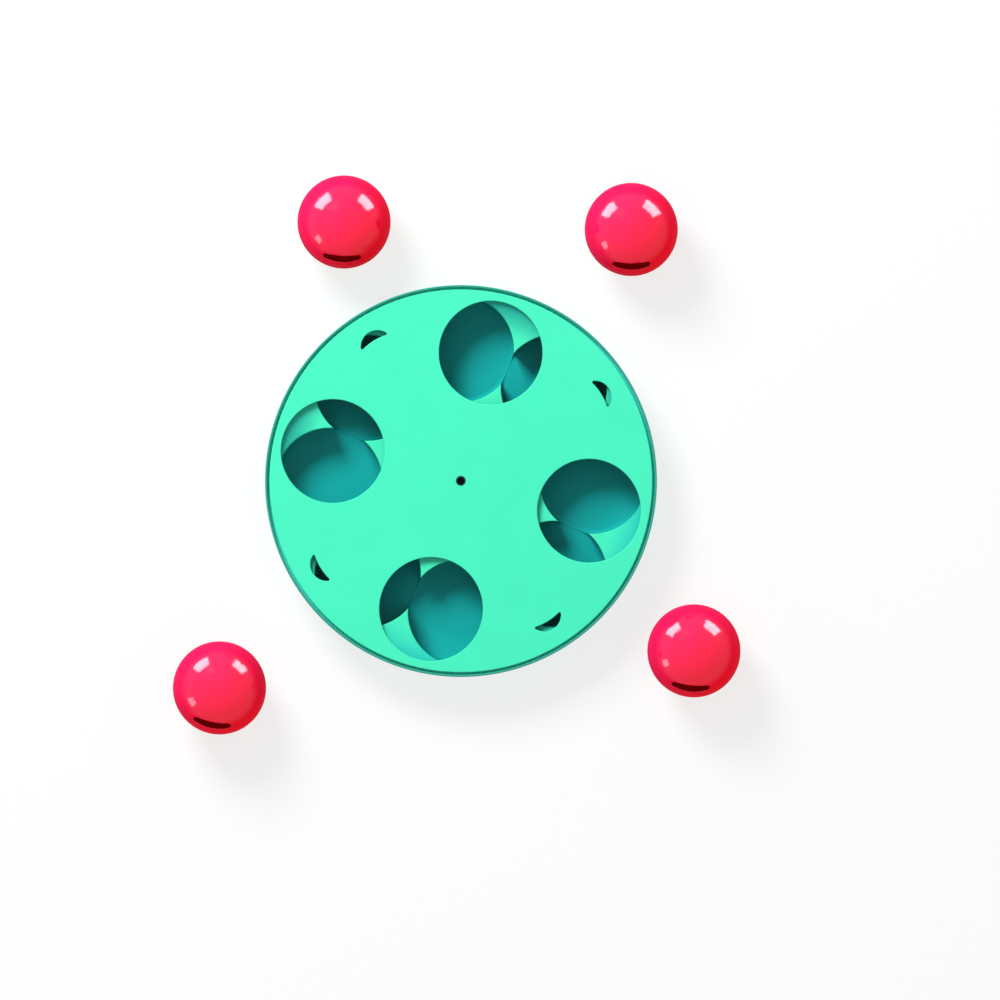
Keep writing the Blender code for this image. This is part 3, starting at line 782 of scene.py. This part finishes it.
def tray_body(size):
    """Rim, skirt, deck, glide ring, hub and screw post, as one turned section."""
    deck = size.deck_top
    under = deck - size.deck_thickness
    glide_top = deck + size.glide_height
    glide_outer = size.glide_radius + size.glide_width
    rim_inner = size.radius - size.rim_wall
    skirt_foot = size.radius - size.skirt_lean
    cup_bottom = size.well_floor - size.floor_thickness
    hub_radius = size.socket_radius + size.hub_wall
    hub_ceiling = size.socket_floor - size.hub_wall
    post_bottom = HUB_FOOT_TOP + 0.3 * MM
    pilot_bottom = SCREW_LOW.z - 1.0 * MM
    corners = [
        (0, pilot_bottom, 0),
        (size.pilot_radius, pilot_bottom, 0),
        (size.pilot_radius, size.socket_floor, 0.2 * MM),
        (size.socket_radius, size.socket_floor, 0.5 * MM),
        (size.socket_radius, deck, size.arris),
        *land_curve(size),
        (size.glide_radius, deck + size.land_rise, 0.3 * MM),
        (size.glide_radius, glide_top, 0.5 * MM),
        (glide_outer, glide_top, 0.5 * MM),
        (glide_outer, deck, 0.3 * MM),
        (rim_inner, deck, 0.6 * MM),
        (rim_inner, size.rim_top, 0.7 * MM),
        (size.radius, size.rim_top, 0.7 * MM),
        (size.radius, under, 8.0 * MM),
        (skirt_foot, size.skirt_bottom, 0.9 * MM),
        (skirt_foot - size.skirt_wall, size.skirt_bottom, 0.9 * MM),
        (size.radius - size.skirt_wall, under, 1.2 * MM),
        (hub_radius, under, 1.2 * MM),
        (hub_radius, cup_bottom, 0.6 * MM),
        (size.socket_radius, cup_bottom, 0.6 * MM),
        (size.socket_radius, hub_ceiling, 0.8 * MM),
        (size.post_radius, hub_ceiling, 0.8 * MM),
        (size.post_radius, post_bottom, 0.6 * MM),
        (0, post_bottom, 0),
    ]
    return turned("tray", corners, steps=192)


def tray_cup(size):
    """Solid cup, from below its floor into the deck."""
    radius = size.well_radius + size.cup_wall
    bottom = size.well_floor - size.floor_thickness
    top = size.deck_top - size.deck_thickness / 2
    cove = size.well_cove + size.cup_wall
    corners = [(0, bottom, 0), (radius, bottom, cove), (radius, top, 0), (0, top, 0)]
    return turned("cup", corners, steps=112)


def well_cutter(size):
    """Hollow of a well, with a cove at its floor and a flare that rounds the land's edge."""
    top = size.deck_top + FLARE_LIFT
    above = top + 6.0 * MM
    flare = size.well_radius + size.arris
    corners = [
        (0, size.well_floor, 0),
        (size.well_radius, size.well_floor, size.well_cove),
        (size.well_radius, top, size.arris),
        (flare, top, 0),
        (flare, above, 0),
        (0, above, 0),
    ]
    return turned("well", corners, steps=112)


def gate_mark(size):
    """Shallow dimple below each cup, where the plastic flowed in."""
    bottom = size.well_floor - size.floor_thickness
    below = bottom - 1.0 * MM
    corners = [
        (0, bottom + 0.5 * MM, 0),
        (1.6 * MM, bottom + 0.3 * MM, 0.6 * MM),
        (2.2 * MM, below, 0),
        (0, below, 0),
    ]
    return turned("gate", corners, steps=32)


def tray_rib(size):
    """Upright rib from the hub to a cup, with its lower edges rounded."""
    inner = size.socket_radius + size.hub_wall / 2
    outer = size.well_pitch - size.well_radius - size.cup_wall / 2
    top = size.deck_top - size.deck_thickness / 2
    bottom = size.deck_top - size.deck_thickness - size.rib_depth
    sides = (outer - inner, size.rib_thickness, top - bottom)
    rib = block("rib", sides, ((inner + outer) / 2, 0, (top + bottom) / 2))
    bpy.ops.object.mode_set(mode="EDIT")
    bpy.ops.mesh.select_mode(type="EDGE")
    bpy.ops.mesh.select_all(action="DESELECT")
    mesh = bmesh.from_edit_mesh(rib.data)
    for edge in mesh.edges:
        edge.select_set(all(vertex.co.z < bottom + MERGE for vertex in edge.verts))
    bmesh.update_edit_mesh(rib.data)
    bpy.ops.mesh.bevel(offset=size.rib_thickness * 0.3, segments=4, affect="EDGES")
    bpy.ops.mesh.select_mode(type="VERT")
    bpy.ops.object.mode_set(mode="OBJECT")
    return rib


def foot_ring(size):
    """Locating ring round a foot, below a cup."""
    top = size.well_floor - size.floor_thickness / 2
    bottom = size.well_floor - size.floor_thickness - size.foot_ring_height
    inner = size.foot_ring_radius
    outer = inner + size.foot_ring_wall
    corners = [(inner, top, 0), (outer, top, 0), (outer, bottom, 0.4 * MM), (inner, bottom, 0.4 * MM)]
    return turned("foot_ring", corners, steps=64, closed=True)


class TREAT_PUZZLE_OT_tray(bpy.types.Operator):
    """Model the tray: one moulding with a rim, linked wells, a hub, ribs and foot rings"""
    bl_idname = "treat_puzzle.tray"
    bl_label = "Tray"

    def execute(self, context):
        size = context.scene.treat_tray
        tray = tray_body(size)
        cups = spread(tray_cup(size), size.well_count, size.well_pitch)
        ribs = spread(tray_rib(size), size.well_count, 0.0)
        apart = math.tau / size.well_count
        rings = spread(foot_ring(size), context.scene.treat_feet.count, size.well_pitch, apart)
        combine(tray, cups + ribs + rings, "UNION")
        hollow, *wells = spread(well_cutter(size), size.well_count, size.well_pitch)
        combine(hollow, wells, "UNION")
        gates = spread(gate_mark(size), size.well_count, size.well_pitch)
        combine(tray, [hollow] + gates, "DIFFERENCE")
        seat(smooth(tray), "base_tray", "base", tray_finish(size))
        return {"FINISHED"}


# Disc

def disc_body(size):
    """Plate with rounded edges, its journal, bore and counterbore."""
    under = size.top - size.thickness
    shelf = BUSHING_HIGH.z
    corners = [
        (size.counterbore_radius, size.top, 0.5 * MM),
        (size.radius, size.top, size.arris),
        (size.radius, under, size.arris),
        (size.journal_radius, under, 1.0 * MM),
        (size.journal_radius, size.journal_bottom, 0.6 * MM),
        (size.bore_radius, size.journal_bottom, 0.3 * MM),
        (size.bore_radius, shelf, 0),
        (size.counterbore_radius, shelf, 0),
    ]
    return turned("disc", corners, steps=256, closed=True)


def hole_cutter(size):
    """Round hole that flares at both faces, which rounds its edges."""
    bottom = size.top - size.thickness - FLARE_LIFT
    top = size.top + FLARE_LIFT
    flare = size.hole_radius + size.arris
    corners = [
        (0, bottom - PAST, 0),
        (flare, bottom - PAST, 0),
        (flare, bottom, 0),
        (size.hole_radius, bottom, size.arris),
        (size.hole_radius, top, size.arris),
        (flare, top, 0),
        (flare, top + PAST, 0),
        (0, top + PAST, 0),
    ]
    return turned("hole", corners, steps=128)


def half_moon(size, grow):
    """Outline of a half-moon slot along +X with a slightly hollow inner edge, grown by a distance."""
    half = size.slot_chord / 2
    corner = size.slot_corner
    bend = (half ** 2 + size.slot_rise ** 2) / (2 * size.slot_rise)
    outer = Vector((size.slot_radius + size.slot_rise - bend, 0.0))
    hollow = (half ** 2 + size.slot_hollow ** 2) / (2 * size.slot_hollow)
    inner = Vector((size.slot_radius + size.slot_hollow - hollow, 0.0))
    apart = outer.x - inner.x
    near = bend - corner
    far = hollow + corner
    across = (far ** 2 - near ** 2 - apart ** 2) / (2 * apart)
    aside = math.sqrt(near ** 2 - across ** 2)
    reach = math.atan2(aside, across)
    back = math.atan2(aside, across + apart)
    high = outer + Vector((across, aside))
    low = outer + Vector((across, -aside))
    points = arc(bend + grow, -reach, reach, 40, outer)
    points += arc(corner + grow, reach, math.pi + back, 12, high)[1:]
    points += arc(hollow - grow, back, -back, 16, inner)[1:]
    points += arc(corner + grow, math.pi - back, math.tau - reach, 12, low)[1:-1]
    return points


def slot_cutter(size):
    """Half-moon cutter that flares at both faces."""
    bottom = size.top - size.thickness - FLARE_LIFT
    top = size.top + FLARE_LIFT
    rise = arc(size.arris, 0.0, math.pi / 2, 5)
    steps = [(size.arris, bottom - PAST)]
    steps += [(size.arris - point.y, bottom + size.arris - point.x) for point in rise]
    steps += [(size.arris - point.y, top - size.arris + point.x) for point in reversed(rise)]
    steps += [(size.arris, top + PAST)]
    loops = [[Vector((p.x, p.y, height)) for p in half_moon(size, grow)] for grow, height in steps]
    return lofted("half_moon", loops)


class TREAT_PUZZLE_OT_disc(bpy.types.Operator):
    """Model the turning disc with its holes, half-moon slots and journal"""
    bl_idname = "treat_puzzle.disc"
    bl_label = "Disc"

    def execute(self, context):
        size = context.scene.treat_disc
        disc = disc_body(size)
        holes = spread(hole_cutter(size), size.hole_count, size.hole_pitch)
        slots = spread(slot_cutter(size), size.hole_count, 0.0, math.pi / size.hole_count)
        combine(disc, holes + slots, "DIFFERENCE")
        set_down(disc, turn=size.turn)
        seat(smooth(disc), "spinner_disc", "disc", disc_finish(size))
        return {"FINISHED"}


# Pivot and screws

def threaded(radius, depth, pitch, bottom, top):
    """Corners of a thread's crests and roots, from its top down to its tip."""
    corners = [(radius - depth, top, 0)]
    for index in range(int((top - bottom - pitch) / pitch)):
        height = top - pitch * (index + 0.5)
        corners.append((radius, height, 0))
        corners.append((radius - depth, height - pitch / 2, 0))
    return corners + [(radius * 0.45, bottom + pitch * 0.2, 0.1 * MM), (0, bottom, 0)]


def cross_cutter(radius, top, depth):
    """Two crossed wedges that cut a cross recess into a screw's head."""
    blades = []
    for turn in (0.0, math.pi / 2):
        blade = block("blade", (radius * 1.25, radius * 0.26, depth * 2), (0, 0, top), turn)
        bpy.ops.object.mode_set(mode="EDIT")
        mesh = bmesh.from_edit_mesh(blade.data)
        for vertex in mesh.verts:
            if vertex.co.z < top:
                vertex.co.xy *= 0.5
        bmesh.update_edit_mesh(blade.data)
        bpy.ops.object.mode_set(mode="OBJECT")
        blades.append(blade)
    return blades


def screw(name, size, bottom, tip):
    """Pan-headed screw with a cross recess and a thread."""
    head = size.head_radius
    height = size.head_height
    top = bottom + height
    corners = [
        (0, top, 0),
        (head * 0.62, top - height * 0.03, 1.5 * MM),
        (head, top - height * 0.42, head * 0.35),
        (head, bottom, 0.15 * MM),
    ]
    corners += threaded(size.shank_radius, size.thread_depth, size.thread_pitch, tip, bottom)
    piece = turned(name, corners, steps=48)
    combine(piece, cross_cutter(head, top, height * 0.6), "DIFFERENCE")
    return smooth(piece)


def ring_piece(name, inner, outer, low, high, edge, steps=64):
    """Flat ring with rounded edges."""
    corners = [(inner, high, edge), (outer, high, edge), (outer, low, edge), (inner, low, edge)]
    return smooth(turned(name, corners, steps, closed=True))


class TREAT_PUZZLE_OT_bushing(bpy.types.Operator):
    """Model the bushing that the disc turns on"""
    bl_idname = "treat_puzzle.bushing"
    bl_label = "Bushing"

    def execute(self, context):
        size = context.scene.treat_pivot
        bushing = ring_piece(
            "bushing", size.hole_radius, size.bushing_radius, BUSHING_LOW.z, BUSHING_HIGH.z, 0.15 * MM
        )
        cream = plain_plastic("bushing plastic", (0.80, 0.78, 0.70), roughness=0.48)
        seat(bushing, "pivot_bushing", "base", cream)
        return {"FINISHED"}


class TREAT_PUZZLE_OT_washer(bpy.types.Operator):
    """Model the washer that holds the disc down"""
    bl_idname = "treat_puzzle.washer"
    bl_label = "Washer"

    def execute(self, context):
        size = context.scene.treat_pivot
        washer = ring_piece(
            "washer", size.hole_radius, size.washer_radius, WASHER_LOW.z, WASHER_HIGH.z, 0.2 * MM
        )
        zinc = steel_finish("zinc washer steel", (0.62, 0.63, 0.64), (0.33, 0.34, 0.36), roughness=0.32)
        seat(washer, "pivot_washer", "base", zinc)
        return {"FINISHED"}


class TREAT_PUZZLE_OT_center_screw(bpy.types.Operator):
    """Model the screw at the disc's centre"""
    bl_idname = "treat_puzzle.center_screw"
    bl_label = "Center screw"

    def execute(self, context):
        size = context.scene.treat_pivot
        body = screw("center_screw", size, SCREW_HIGH.z - size.head_height, SCREW_LOW.z)
        seat(body, "pivot_screw", "base", black_steel())
        return {"FINISHED"}


# Feet

def grip_face(radius, edge, groove):
    """Corners of a foot's underside from its axis to its edge, with two ring grooves."""
    slope = 0.12 * MM
    soft = 0.15 * MM
    corners = [(0, groove * 0.6, 0), (radius * 0.18, groove * 0.6, 0.3 * MM), (radius * 0.26, 0, 0.2 * MM)]
    for inner, outer in ((0.42, 0.52), (0.68, 0.78)):
        corners.append((radius * inner, 0, soft))
        corners.append((radius * inner + slope, groove, soft))
        corners.append((radius * outer - slope, groove, soft))
        corners.append((radius * outer, 0, soft))
    return corners + [(radius, 0, edge)]


class TREAT_PUZZLE_OT_feet(bpy.types.Operator):
    """Model the rubber feet: a plug below the hub and pads below every second cup"""
    bl_idname = "treat_puzzle.feet"
    bl_label = "Feet"

    def execute(self, context):
        size = context.scene.treat_feet
        rubber = rubber_finish()
        corners = grip_face(size.hub_radius, size.edge, size.groove)
        corners += [
            (size.hub_radius, size.height, 0.3 * MM),
            (size.plug_radius, size.height, 0.2 * MM),
            (size.plug_radius, size.plug_top, 0.8 * MM),
            (0, size.plug_top, 0),
        ]
        middle = smooth(turned("hub_foot", corners, steps=96))
        seat(middle, "foot_center", "base", rubber)
        corners = grip_face(size.radius, size.edge, size.groove)
        corners += [(size.radius, size.height, 0.4 * MM), (0, size.height, 0)]
        pad = smooth(turned("pad", corners, steps=80))
        for index, foot in enumerate(spread(pad, size.count, size.pitch, math.pi / size.count), start=1):
            foot.name = f"pad_{index}"
            seat(foot, f"foot_{index}", "base", rubber)
        return {"FINISHED"}


# Treat balls

def mouth_edge(size):
    """Plan points round the mouth, closest together at its two ends."""
    half_length = size.mouth_bend * math.asin(size.mouth_length / 2 / size.mouth_bend)
    half_width = size.mouth_width / 2
    corner = size.mouth_corner
    middle = Vector((0.0, size.mouth_bend - size.mouth_distance))
    points = []
    for index in range(COLUMNS):
        turn = math.tau * index / COLUMNS
        along = half_length * math.cos(turn)
        past = max(0.0, abs(along) - (half_length - corner))
        narrow = 1 - size.mouth_taper * (along / half_length) ** 2
        across = half_width * narrow - corner + math.sqrt(max(0.0, corner ** 2 - past ** 2))
        if index % (COLUMNS // 2) == 0:
            across = 0.0
        reach = size.mouth_bend - math.copysign(across, math.sin(turn))
        angle = along / size.mouth_bend - math.pi / 2
        points.append(middle + Vector((reach * math.cos(angle), reach * math.sin(angle))))
    return points


def lifted(plan, radius):
    """Plan points raised onto a sphere."""
    return [Vector((p.x, p.y, math.sqrt(radius ** 2 - p.length_squared))) for p in plan]


def seam_circle(radius, height):
    """Level ring of points, in step with the points round the mouth."""
    turns = [math.tau * index / COLUMNS for index in range(COLUMNS)]
    return [Vector((radius * math.cos(t), radius * math.sin(t), height)) for t in turns]


def pushed_out(edge, distance, depth):
    """An edge on a sphere moved away from the opening along the sphere, and down into it."""
    moved = []
    for index, point in enumerate(edge):
        along = edge[(index + 1) % COLUMNS] - edge[index - 1]
        away = along.cross(point).normalized()
        moved.append((point + away * distance).normalized() * (point.length - depth))
    return moved


def sphere_rows(start, end, steps, bias):
    """Rows of points on great circles between two rings of one sphere, closer together at the end."""
    rows = []
    for step in range(1, steps):
        factor = 1 - (1 - step / steps) ** bias
        rows.append([a.normalized().slerp(b.normalized(), factor) * a.length for a, b in zip(start, end)])
    return rows


def dome_model(size):
    """Upper shell, lofted from the seam over its outside to the mouth and back inside."""
    inner = size.radius - size.wall
    seam = size.clearance / 2
    plan = mouth_edge(size)
    outer_edge = lifted(plan, size.radius)
    inner_edge = lifted(plan, inner)
    lip = arc(size.lip, 0.0, math.pi / 2, 5)
    seam_lip = [seam_circle(size.radius - size.lip + p.y, seam + size.lip - p.x) for p in lip]
    level = math.sqrt(size.radius ** 2 - (seam + size.lip) ** 2)
    seam_lip[-1] = seam_circle(level, seam + size.lip)
    mouth_lip = [pushed_out(outer_edge, size.lip - p.y, size.lip - p.x) for p in lip]
    inner_seam = seam_circle(math.sqrt(inner ** 2 - seam ** 2), seam)
    wall = [[a.lerp(b, factor) for a, b in zip(mouth_lip[-1], inner_edge)] for factor in (0.35, 0.7)]
    loops = [inner_seam] + seam_lip
    loops += sphere_rows(seam_lip[-1], mouth_lip[0], 44, 1.5)
    loops += mouth_lip + wall + [inner_edge]
    loops += list(reversed(sphere_rows(inner_seam, inner_edge, 30, 1.3)))
    return lofted("ball_dome_model", loops, closed=True)


def bowl_model(size):
    """Lower shell with its collar, and a pocket for the weight."""
    inner = size.radius - size.wall
    seam = -size.clearance / 2
    collar = inner - size.clearance
    collar_inner = collar - size.collar_wall
    shoulder = size.collar_height - 0.5 * MM
    pocket_floor = size.pocket_floor - size.radius
    pocket_inner = size.weight_radius + size.clearance
    pocket_outer = pocket_inner + size.pocket_wall
    pocket_top = pocket_floor + size.weight_height + 2 * size.clearance
    hole = size.shank_radius + size.clearance
    low = math.asin(seam / collar)
    high = math.asin(shoulder / collar)
    crest = collar * math.cos(high)
    lip_middle = (size.radius - size.lip, seam - size.lip)
    outline = arc(size.radius, -math.pi / 2, math.asin((seam - size.lip) / size.radius), 44)
    outline += arc(size.lip, 0.0, math.pi / 2, 5, lip_middle)[1:]
    outline += arc(collar, low, high, 6)
    outline += rounded([
        (crest, shoulder, 0),
        (crest - 0.2 * MM, size.collar_height, 0.3 * MM),
        (collar_inner, size.collar_height, 0.5 * MM),
        (collar_inner, -math.sqrt(inner ** 2 - collar_inner ** 2), 0),
    ])[1:]
    outline += arc(inner, -math.acos(collar_inner / inner), -math.acos(pocket_outer / inner), 20)[1:]
    outline += rounded([
        (pocket_outer, -math.sqrt(inner ** 2 - pocket_outer ** 2), 0),
        (pocket_outer, pocket_top, 0.4 * MM),
        (pocket_inner, pocket_top, 0.4 * MM),
        (pocket_inner, pocket_floor, 0.2 * MM),
        (size.boss_radius, pocket_floor, 0.2 * MM),
        (size.boss_radius, pocket_top, 0.3 * MM),
        (hole, pocket_top, 0.2 * MM),
        (hole, pocket_floor, 0),
        (0, pocket_floor, 0),
    ])[1:]
    return turned("ball_bowl_model", [(p.x, p.y, 0) for p in outline], steps=160)


def keep_warmth(model, radius):
    """Store on each vertex its painted shade, how far it lies towards the ball's shaded side, and its painted
    glow on the outside.
    """
    skin = radius - 0.05 * MM
    warmth = []
    outside = []
    for vertex in model.data.vertices:
        # painted shade towards the shaded side
        shaded_share = min(1.0, max(0.0, SHADE_AT_MIDDLE + SHADE_SPREAD * vertex.co.dot(SHADED_SIDE) / radius))
        # painted glow, more towards the top and on the shaded side
        glow = min(1.0, max(LOW_GLOW, LOW_GLOW + GLOW_RISE * vertex.co.z / radius))
        glow *= LIT_SIDE_GLOW + (1 - LIT_SIDE_GLOW) * shaded_share
        warmth.append(shaded_share)
        outside.append(glow if vertex.co.length > skin else 0.0)
    for name, values in (("warmth", warmth), ("outside", outside)):
        model.data.attributes.new(name, "FLOAT", "POINT").data.foreach_set("value", values)


def stand_balls(size, model, name, node, body, finish):
    """Put a copy of a ball's piece in each ball, and remove the model."""
    for index, turn in enumerate(size.mouth_turns, start=1):
        ball = f"ball_{index}"
        piece = copied(model, f"{ball}_{name}")
        piece.scale = (size.breadth, size.breadth, 1.0)
        set_down(piece, BALL_CENTERS[ball], turn)
        seat(piece, f"{ball}_{node}", f"{ball}{body}", finish)
    bpy.data.objects.remove(model)


class TREAT_PUZZLE_OT_upper_shells(bpy.types.Operator):
    """Model the upper shells of the treat balls, each with its mouth"""
    bl_idname = "treat_puzzle.upper_shells"
    bl_label = "Upper ball shells"

    def execute(self, context):
        size = context.scene.treat_balls
        dome = dome_model(size)
        keep_warmth(dome, size.radius)
        stand_balls(size, smooth(dome), "upper_shell", "dome", "_top", ball_finish(size))
        return {"FINISHED"}


class TREAT_PUZZLE_OT_lower_shells(bpy.types.Operator):
    """Model the lower shells of the treat balls, each with a pocket for its weight"""
    bl_idname = "treat_puzzle.lower_shells"
    bl_label = "Lower ball shells"

    def execute(self, context):
        size = context.scene.treat_balls
        bowl = bowl_model(size)
        keep_warmth(bowl, size.radius)
        stand_balls(size, smooth(bowl), "lower_shell", "bowl", "", ball_finish(size))
        return {"FINISHED"}


def weight_span(size):
    """Heights of a weight's two faces above the ball's middle."""
    low = size.pocket_floor - size.radius + size.clearance
    return low, low + size.weight_height


def cover_span(size):
    """Heights of the two faces of the plate over the weight."""
    low = weight_span(size)[1] + 2 * size.clearance
    return low, low + size.cover_thickness


class TREAT_PUZZLE_OT_ball_weights(bpy.types.Operator):
    """Model the weights that make the balls stand up again"""
    bl_idname = "treat_puzzle.ball_weights"
    bl_label = "Ball weights"

    def execute(self, context):
        size = context.scene.treat_balls
        boss = size.boss_radius + size.clearance
        weight = ring_piece("weight_model", boss, size.weight_radius, *weight_span(size), 0.5 * MM, steps=96)
        steel = steel_finish("turned weight steel", (0.56, 0.56, 0.57), (0.30, 0.30, 0.31), roughness=0.36)
        stand_balls(size, weight, "puck", "weight", "", steel)
        return {"FINISHED"}


class TREAT_PUZZLE_OT_weight_covers(bpy.types.Operator):
    """Model the plates that keep the weights in their pockets"""
    bl_idname = "treat_puzzle.weight_covers"
    bl_label = "Weight covers"

    def execute(self, context):
        size = context.scene.treat_balls
        gap = size.clearance
        inner = size.radius - size.wall
        bottom, top = cover_span(size)
        sunk = top - 0.5 * MM
        rim = math.sqrt(inner ** 2 - bottom ** 2) - 2 * gap
        hole = size.shank_radius + gap
        corners = [
            (hole, top, 0.2 * MM),
            (rim * 0.55, top, 0.3 * MM),
            (rim * 0.58, sunk, 0.3 * MM),
            (rim * 0.84, sunk, 0.3 * MM),
            (rim * 0.87, top, 0.3 * MM),
            (rim, top, 0.5 * MM),
            (rim, bottom, 0.4 * MM),
            (hole, bottom, 0.2 * MM),
        ]
        cover = smooth(turned("cover_model", corners, steps=128, closed=True))
        white = plain_plastic("white cover plastic", (0.76, 0.76, 0.74), roughness=0.45)
        stand_balls(size, cover, "cover", "weight_cover", "", white)
        return {"FINISHED"}


class TREAT_PUZZLE_OT_cover_screws(bpy.types.Operator):
    """Model the screws that hold the plates over the weights"""
    bl_idname = "treat_puzzle.cover_screws"
    bl_label = "Cover screws"

    def execute(self, context):
        size = context.scene.treat_balls
        bottom = cover_span(size)[1] + size.clearance
        tip = size.pocket_floor - size.radius + 0.6 * MM
        body = screw("screw_model", size, bottom, tip)
        stand_balls(size, body, "screw", "cover_screw", "", black_steel())
        return {"FINISHED"}


# Stage

def seen_directly(tree):
    """One for the rays that look straight at the backdrop, also by mirror or through glass."""
    path = add(tree, "LightPath").outputs
    return calc(tree, "MAXIMUM", path["Is Camera Ray"], path["Is Glossy Ray"], path["Is Transmission Ray"])


def soft_lamp(name, place, target, width, height, watts):
    """Area lamp that faces a point and that the camera doesn't see."""
    lamp = started(name, bpy.ops.object.light_add, type="AREA", location=place)
    lamp.data.shape = "RECTANGLE"
    lamp.data.size = width
    lamp.data.size_y = height
    lamp.data.energy = watts
    lamp.rotation_euler = (Vector(target) - Vector(place)).to_track_quat("-Z", "Y").to_euler()
    lamp.visible_camera = False
    return lamp


def mirror_card(name, bearing, height, width, tall, watts, shells):
    """Upright soft lamp, which shows only as a highlight on the polished shells."""
    angle = math.radians(bearing)
    place = (CARD_REACH * math.cos(angle), CARD_REACH * math.sin(angle), height)
    card = soft_lamp(name, place, (0, 0, height), width, tall, watts)
    card.data.color = CARD_TONE
    card.visible_diffuse = False
    card.light_linking.receiver_collection = shells


def white_floor():
    """Floor material that reads as white and keeps a soft shadow."""
    finish = bpy.data.materials.new("white floor")
    finish.use_nodes = True
    tree = finish.node_tree
    tree.nodes.clear()
    seen = seen_directly(tree)
    matt = add(tree, "BsdfDiffuse", {"Color": mix(tree, seen, FLOOR_LIT, FLOOR_SEEN)})
    lift = calc(tree, "MULTIPLY", seen, FLOOR_GLOW)
    glow = add(tree, "Emission", {"Color": (1.0, 1.0, 1.0), "Strength": lift})
    both = add(tree, "AddShader", {0: matt.outputs["BSDF"], 1: glow.outputs["Emission"]})
    add(tree, "OutputMaterial", {"Surface": both.outputs["Shader"]})
    return finish


class TREAT_PUZZLE_OT_stage(bpy.types.Operator):
    """Set up the white floor, the even light, the lamps and the camera above the disc"""
    bl_idname = "treat_puzzle.stage"
    bl_label = "Stage"

    def execute(self, context):
        scene = context.scene
        size = scene.treat_stage
        below = (0, 0, -0.05 * MM)
        floor = started("floor", bpy.ops.mesh.primitive_plane_add, size=FLOOR_WIDTH, location=below)
        floor.data.materials.append(white_floor())
        scene.world = bpy.data.worlds.new("even light")
        scene.world.use_nodes = True
        tree = scene.world.node_tree
        strength = remap(tree, seen_directly(tree), 0.0, 1.0, size.sky, 1.0)
        feed(tree, tree.nodes["Background"], {"Color": (1.0, 1.0, 1.0), "Strength": strength})
        key = soft_lamp("key", KEY_PLACE, KEY_TARGET, KEY_WIDTH, KEY_WIDTH, size.key_power)
        key.visible_glossy = False
        shells = bpy.data.collections.new("polished shells")
        for piece in scene.objects:
            if piece.name.endswith("_shell"):
                shells.objects.link(piece)
        for name, (bearing, height, width, tall, part) in CARDS.items():
            mirror_card(name, bearing, height, width, tall, size.card_power * part, shells)
        above = (*size.center, DISC_HIGH.z + size.camera_height)
        camera = started("camera above", bpy.ops.object.camera_add, location=above, rotation=(0, 0, 0))
        camera.data.sensor_width = SENSOR
        camera.data.lens = SENSOR * size.camera_height / size.view_width
        camera.data.clip_end = 40.0
        scene.camera = camera
        scene.view_settings.view_transform = "Standard"
        return {"FINISHED"}


# Panel and registration

SETTINGS = {
    "treat_tray": TraySettings,
    "treat_disc": DiscSettings,
    "treat_pivot": PivotSettings,
    "treat_feet": FootSettings,
    "treat_balls": BallSettings,
    "treat_stage": StageSettings,
}
OPERATORS = (
    TREAT_PUZZLE_OT_tray,
    TREAT_PUZZLE_OT_disc,
    TREAT_PUZZLE_OT_bushing,
    TREAT_PUZZLE_OT_washer,
    TREAT_PUZZLE_OT_center_screw,
    TREAT_PUZZLE_OT_feet,
    TREAT_PUZZLE_OT_upper_shells,
    TREAT_PUZZLE_OT_lower_shells,
    TREAT_PUZZLE_OT_ball_weights,
    TREAT_PUZZLE_OT_weight_covers,
    TREAT_PUZZLE_OT_cover_screws,
    TREAT_PUZZLE_OT_stage,
)


class VIEW3D_PT_treat_puzzle(bpy.types.Panel):
    """Sizes, colours and operators of the treat puzzle"""
    bl_label = "Treat puzzle"
    bl_space_type = "VIEW_3D"
    bl_region_type = "UI"
    bl_category = "Treat puzzle"

    def draw(self, context):
        for operator in OPERATORS:
            self.layout.operator(operator.bl_idname)
        for key, group in SETTINGS.items():
            box = self.layout.box()
            box.label(text=group.__doc__)
            for name in group.__annotations__:
                box.prop(getattr(context.scene, key), name)


register_classes, unregister_classes = bpy.utils.register_classes_factory(
    (*SETTINGS.values(), *OPERATORS, VIEW3D_PT_treat_puzzle)
)


def register():
    """Register the settings, the operators and the panel."""
    register_classes()
    for key, group in SETTINGS.items():
        setattr(bpy.types.Scene, key, bpy.props.PointerProperty(type=group))


def unregister():
    """Take everything off again."""
    for key in SETTINGS:
        delattr(bpy.types.Scene, key)
    unregister_classes()


def main():
    """Register the settings, then build every piece and the stage."""
    register()
    bpy.ops.treat_puzzle.tray()
    bpy.ops.treat_puzzle.disc()
    bpy.ops.treat_puzzle.bushing()
    bpy.ops.treat_puzzle.washer()
    bpy.ops.treat_puzzle.center_screw()
    bpy.ops.treat_puzzle.feet()
    bpy.ops.treat_puzzle.upper_shells()
    bpy.ops.treat_puzzle.lower_shells()
    bpy.ops.treat_puzzle.ball_weights()
    bpy.ops.treat_puzzle.weight_covers()
    bpy.ops.treat_puzzle.cover_screws()
    bpy.ops.treat_puzzle.stage()


if __name__ == "__main__":
    main()
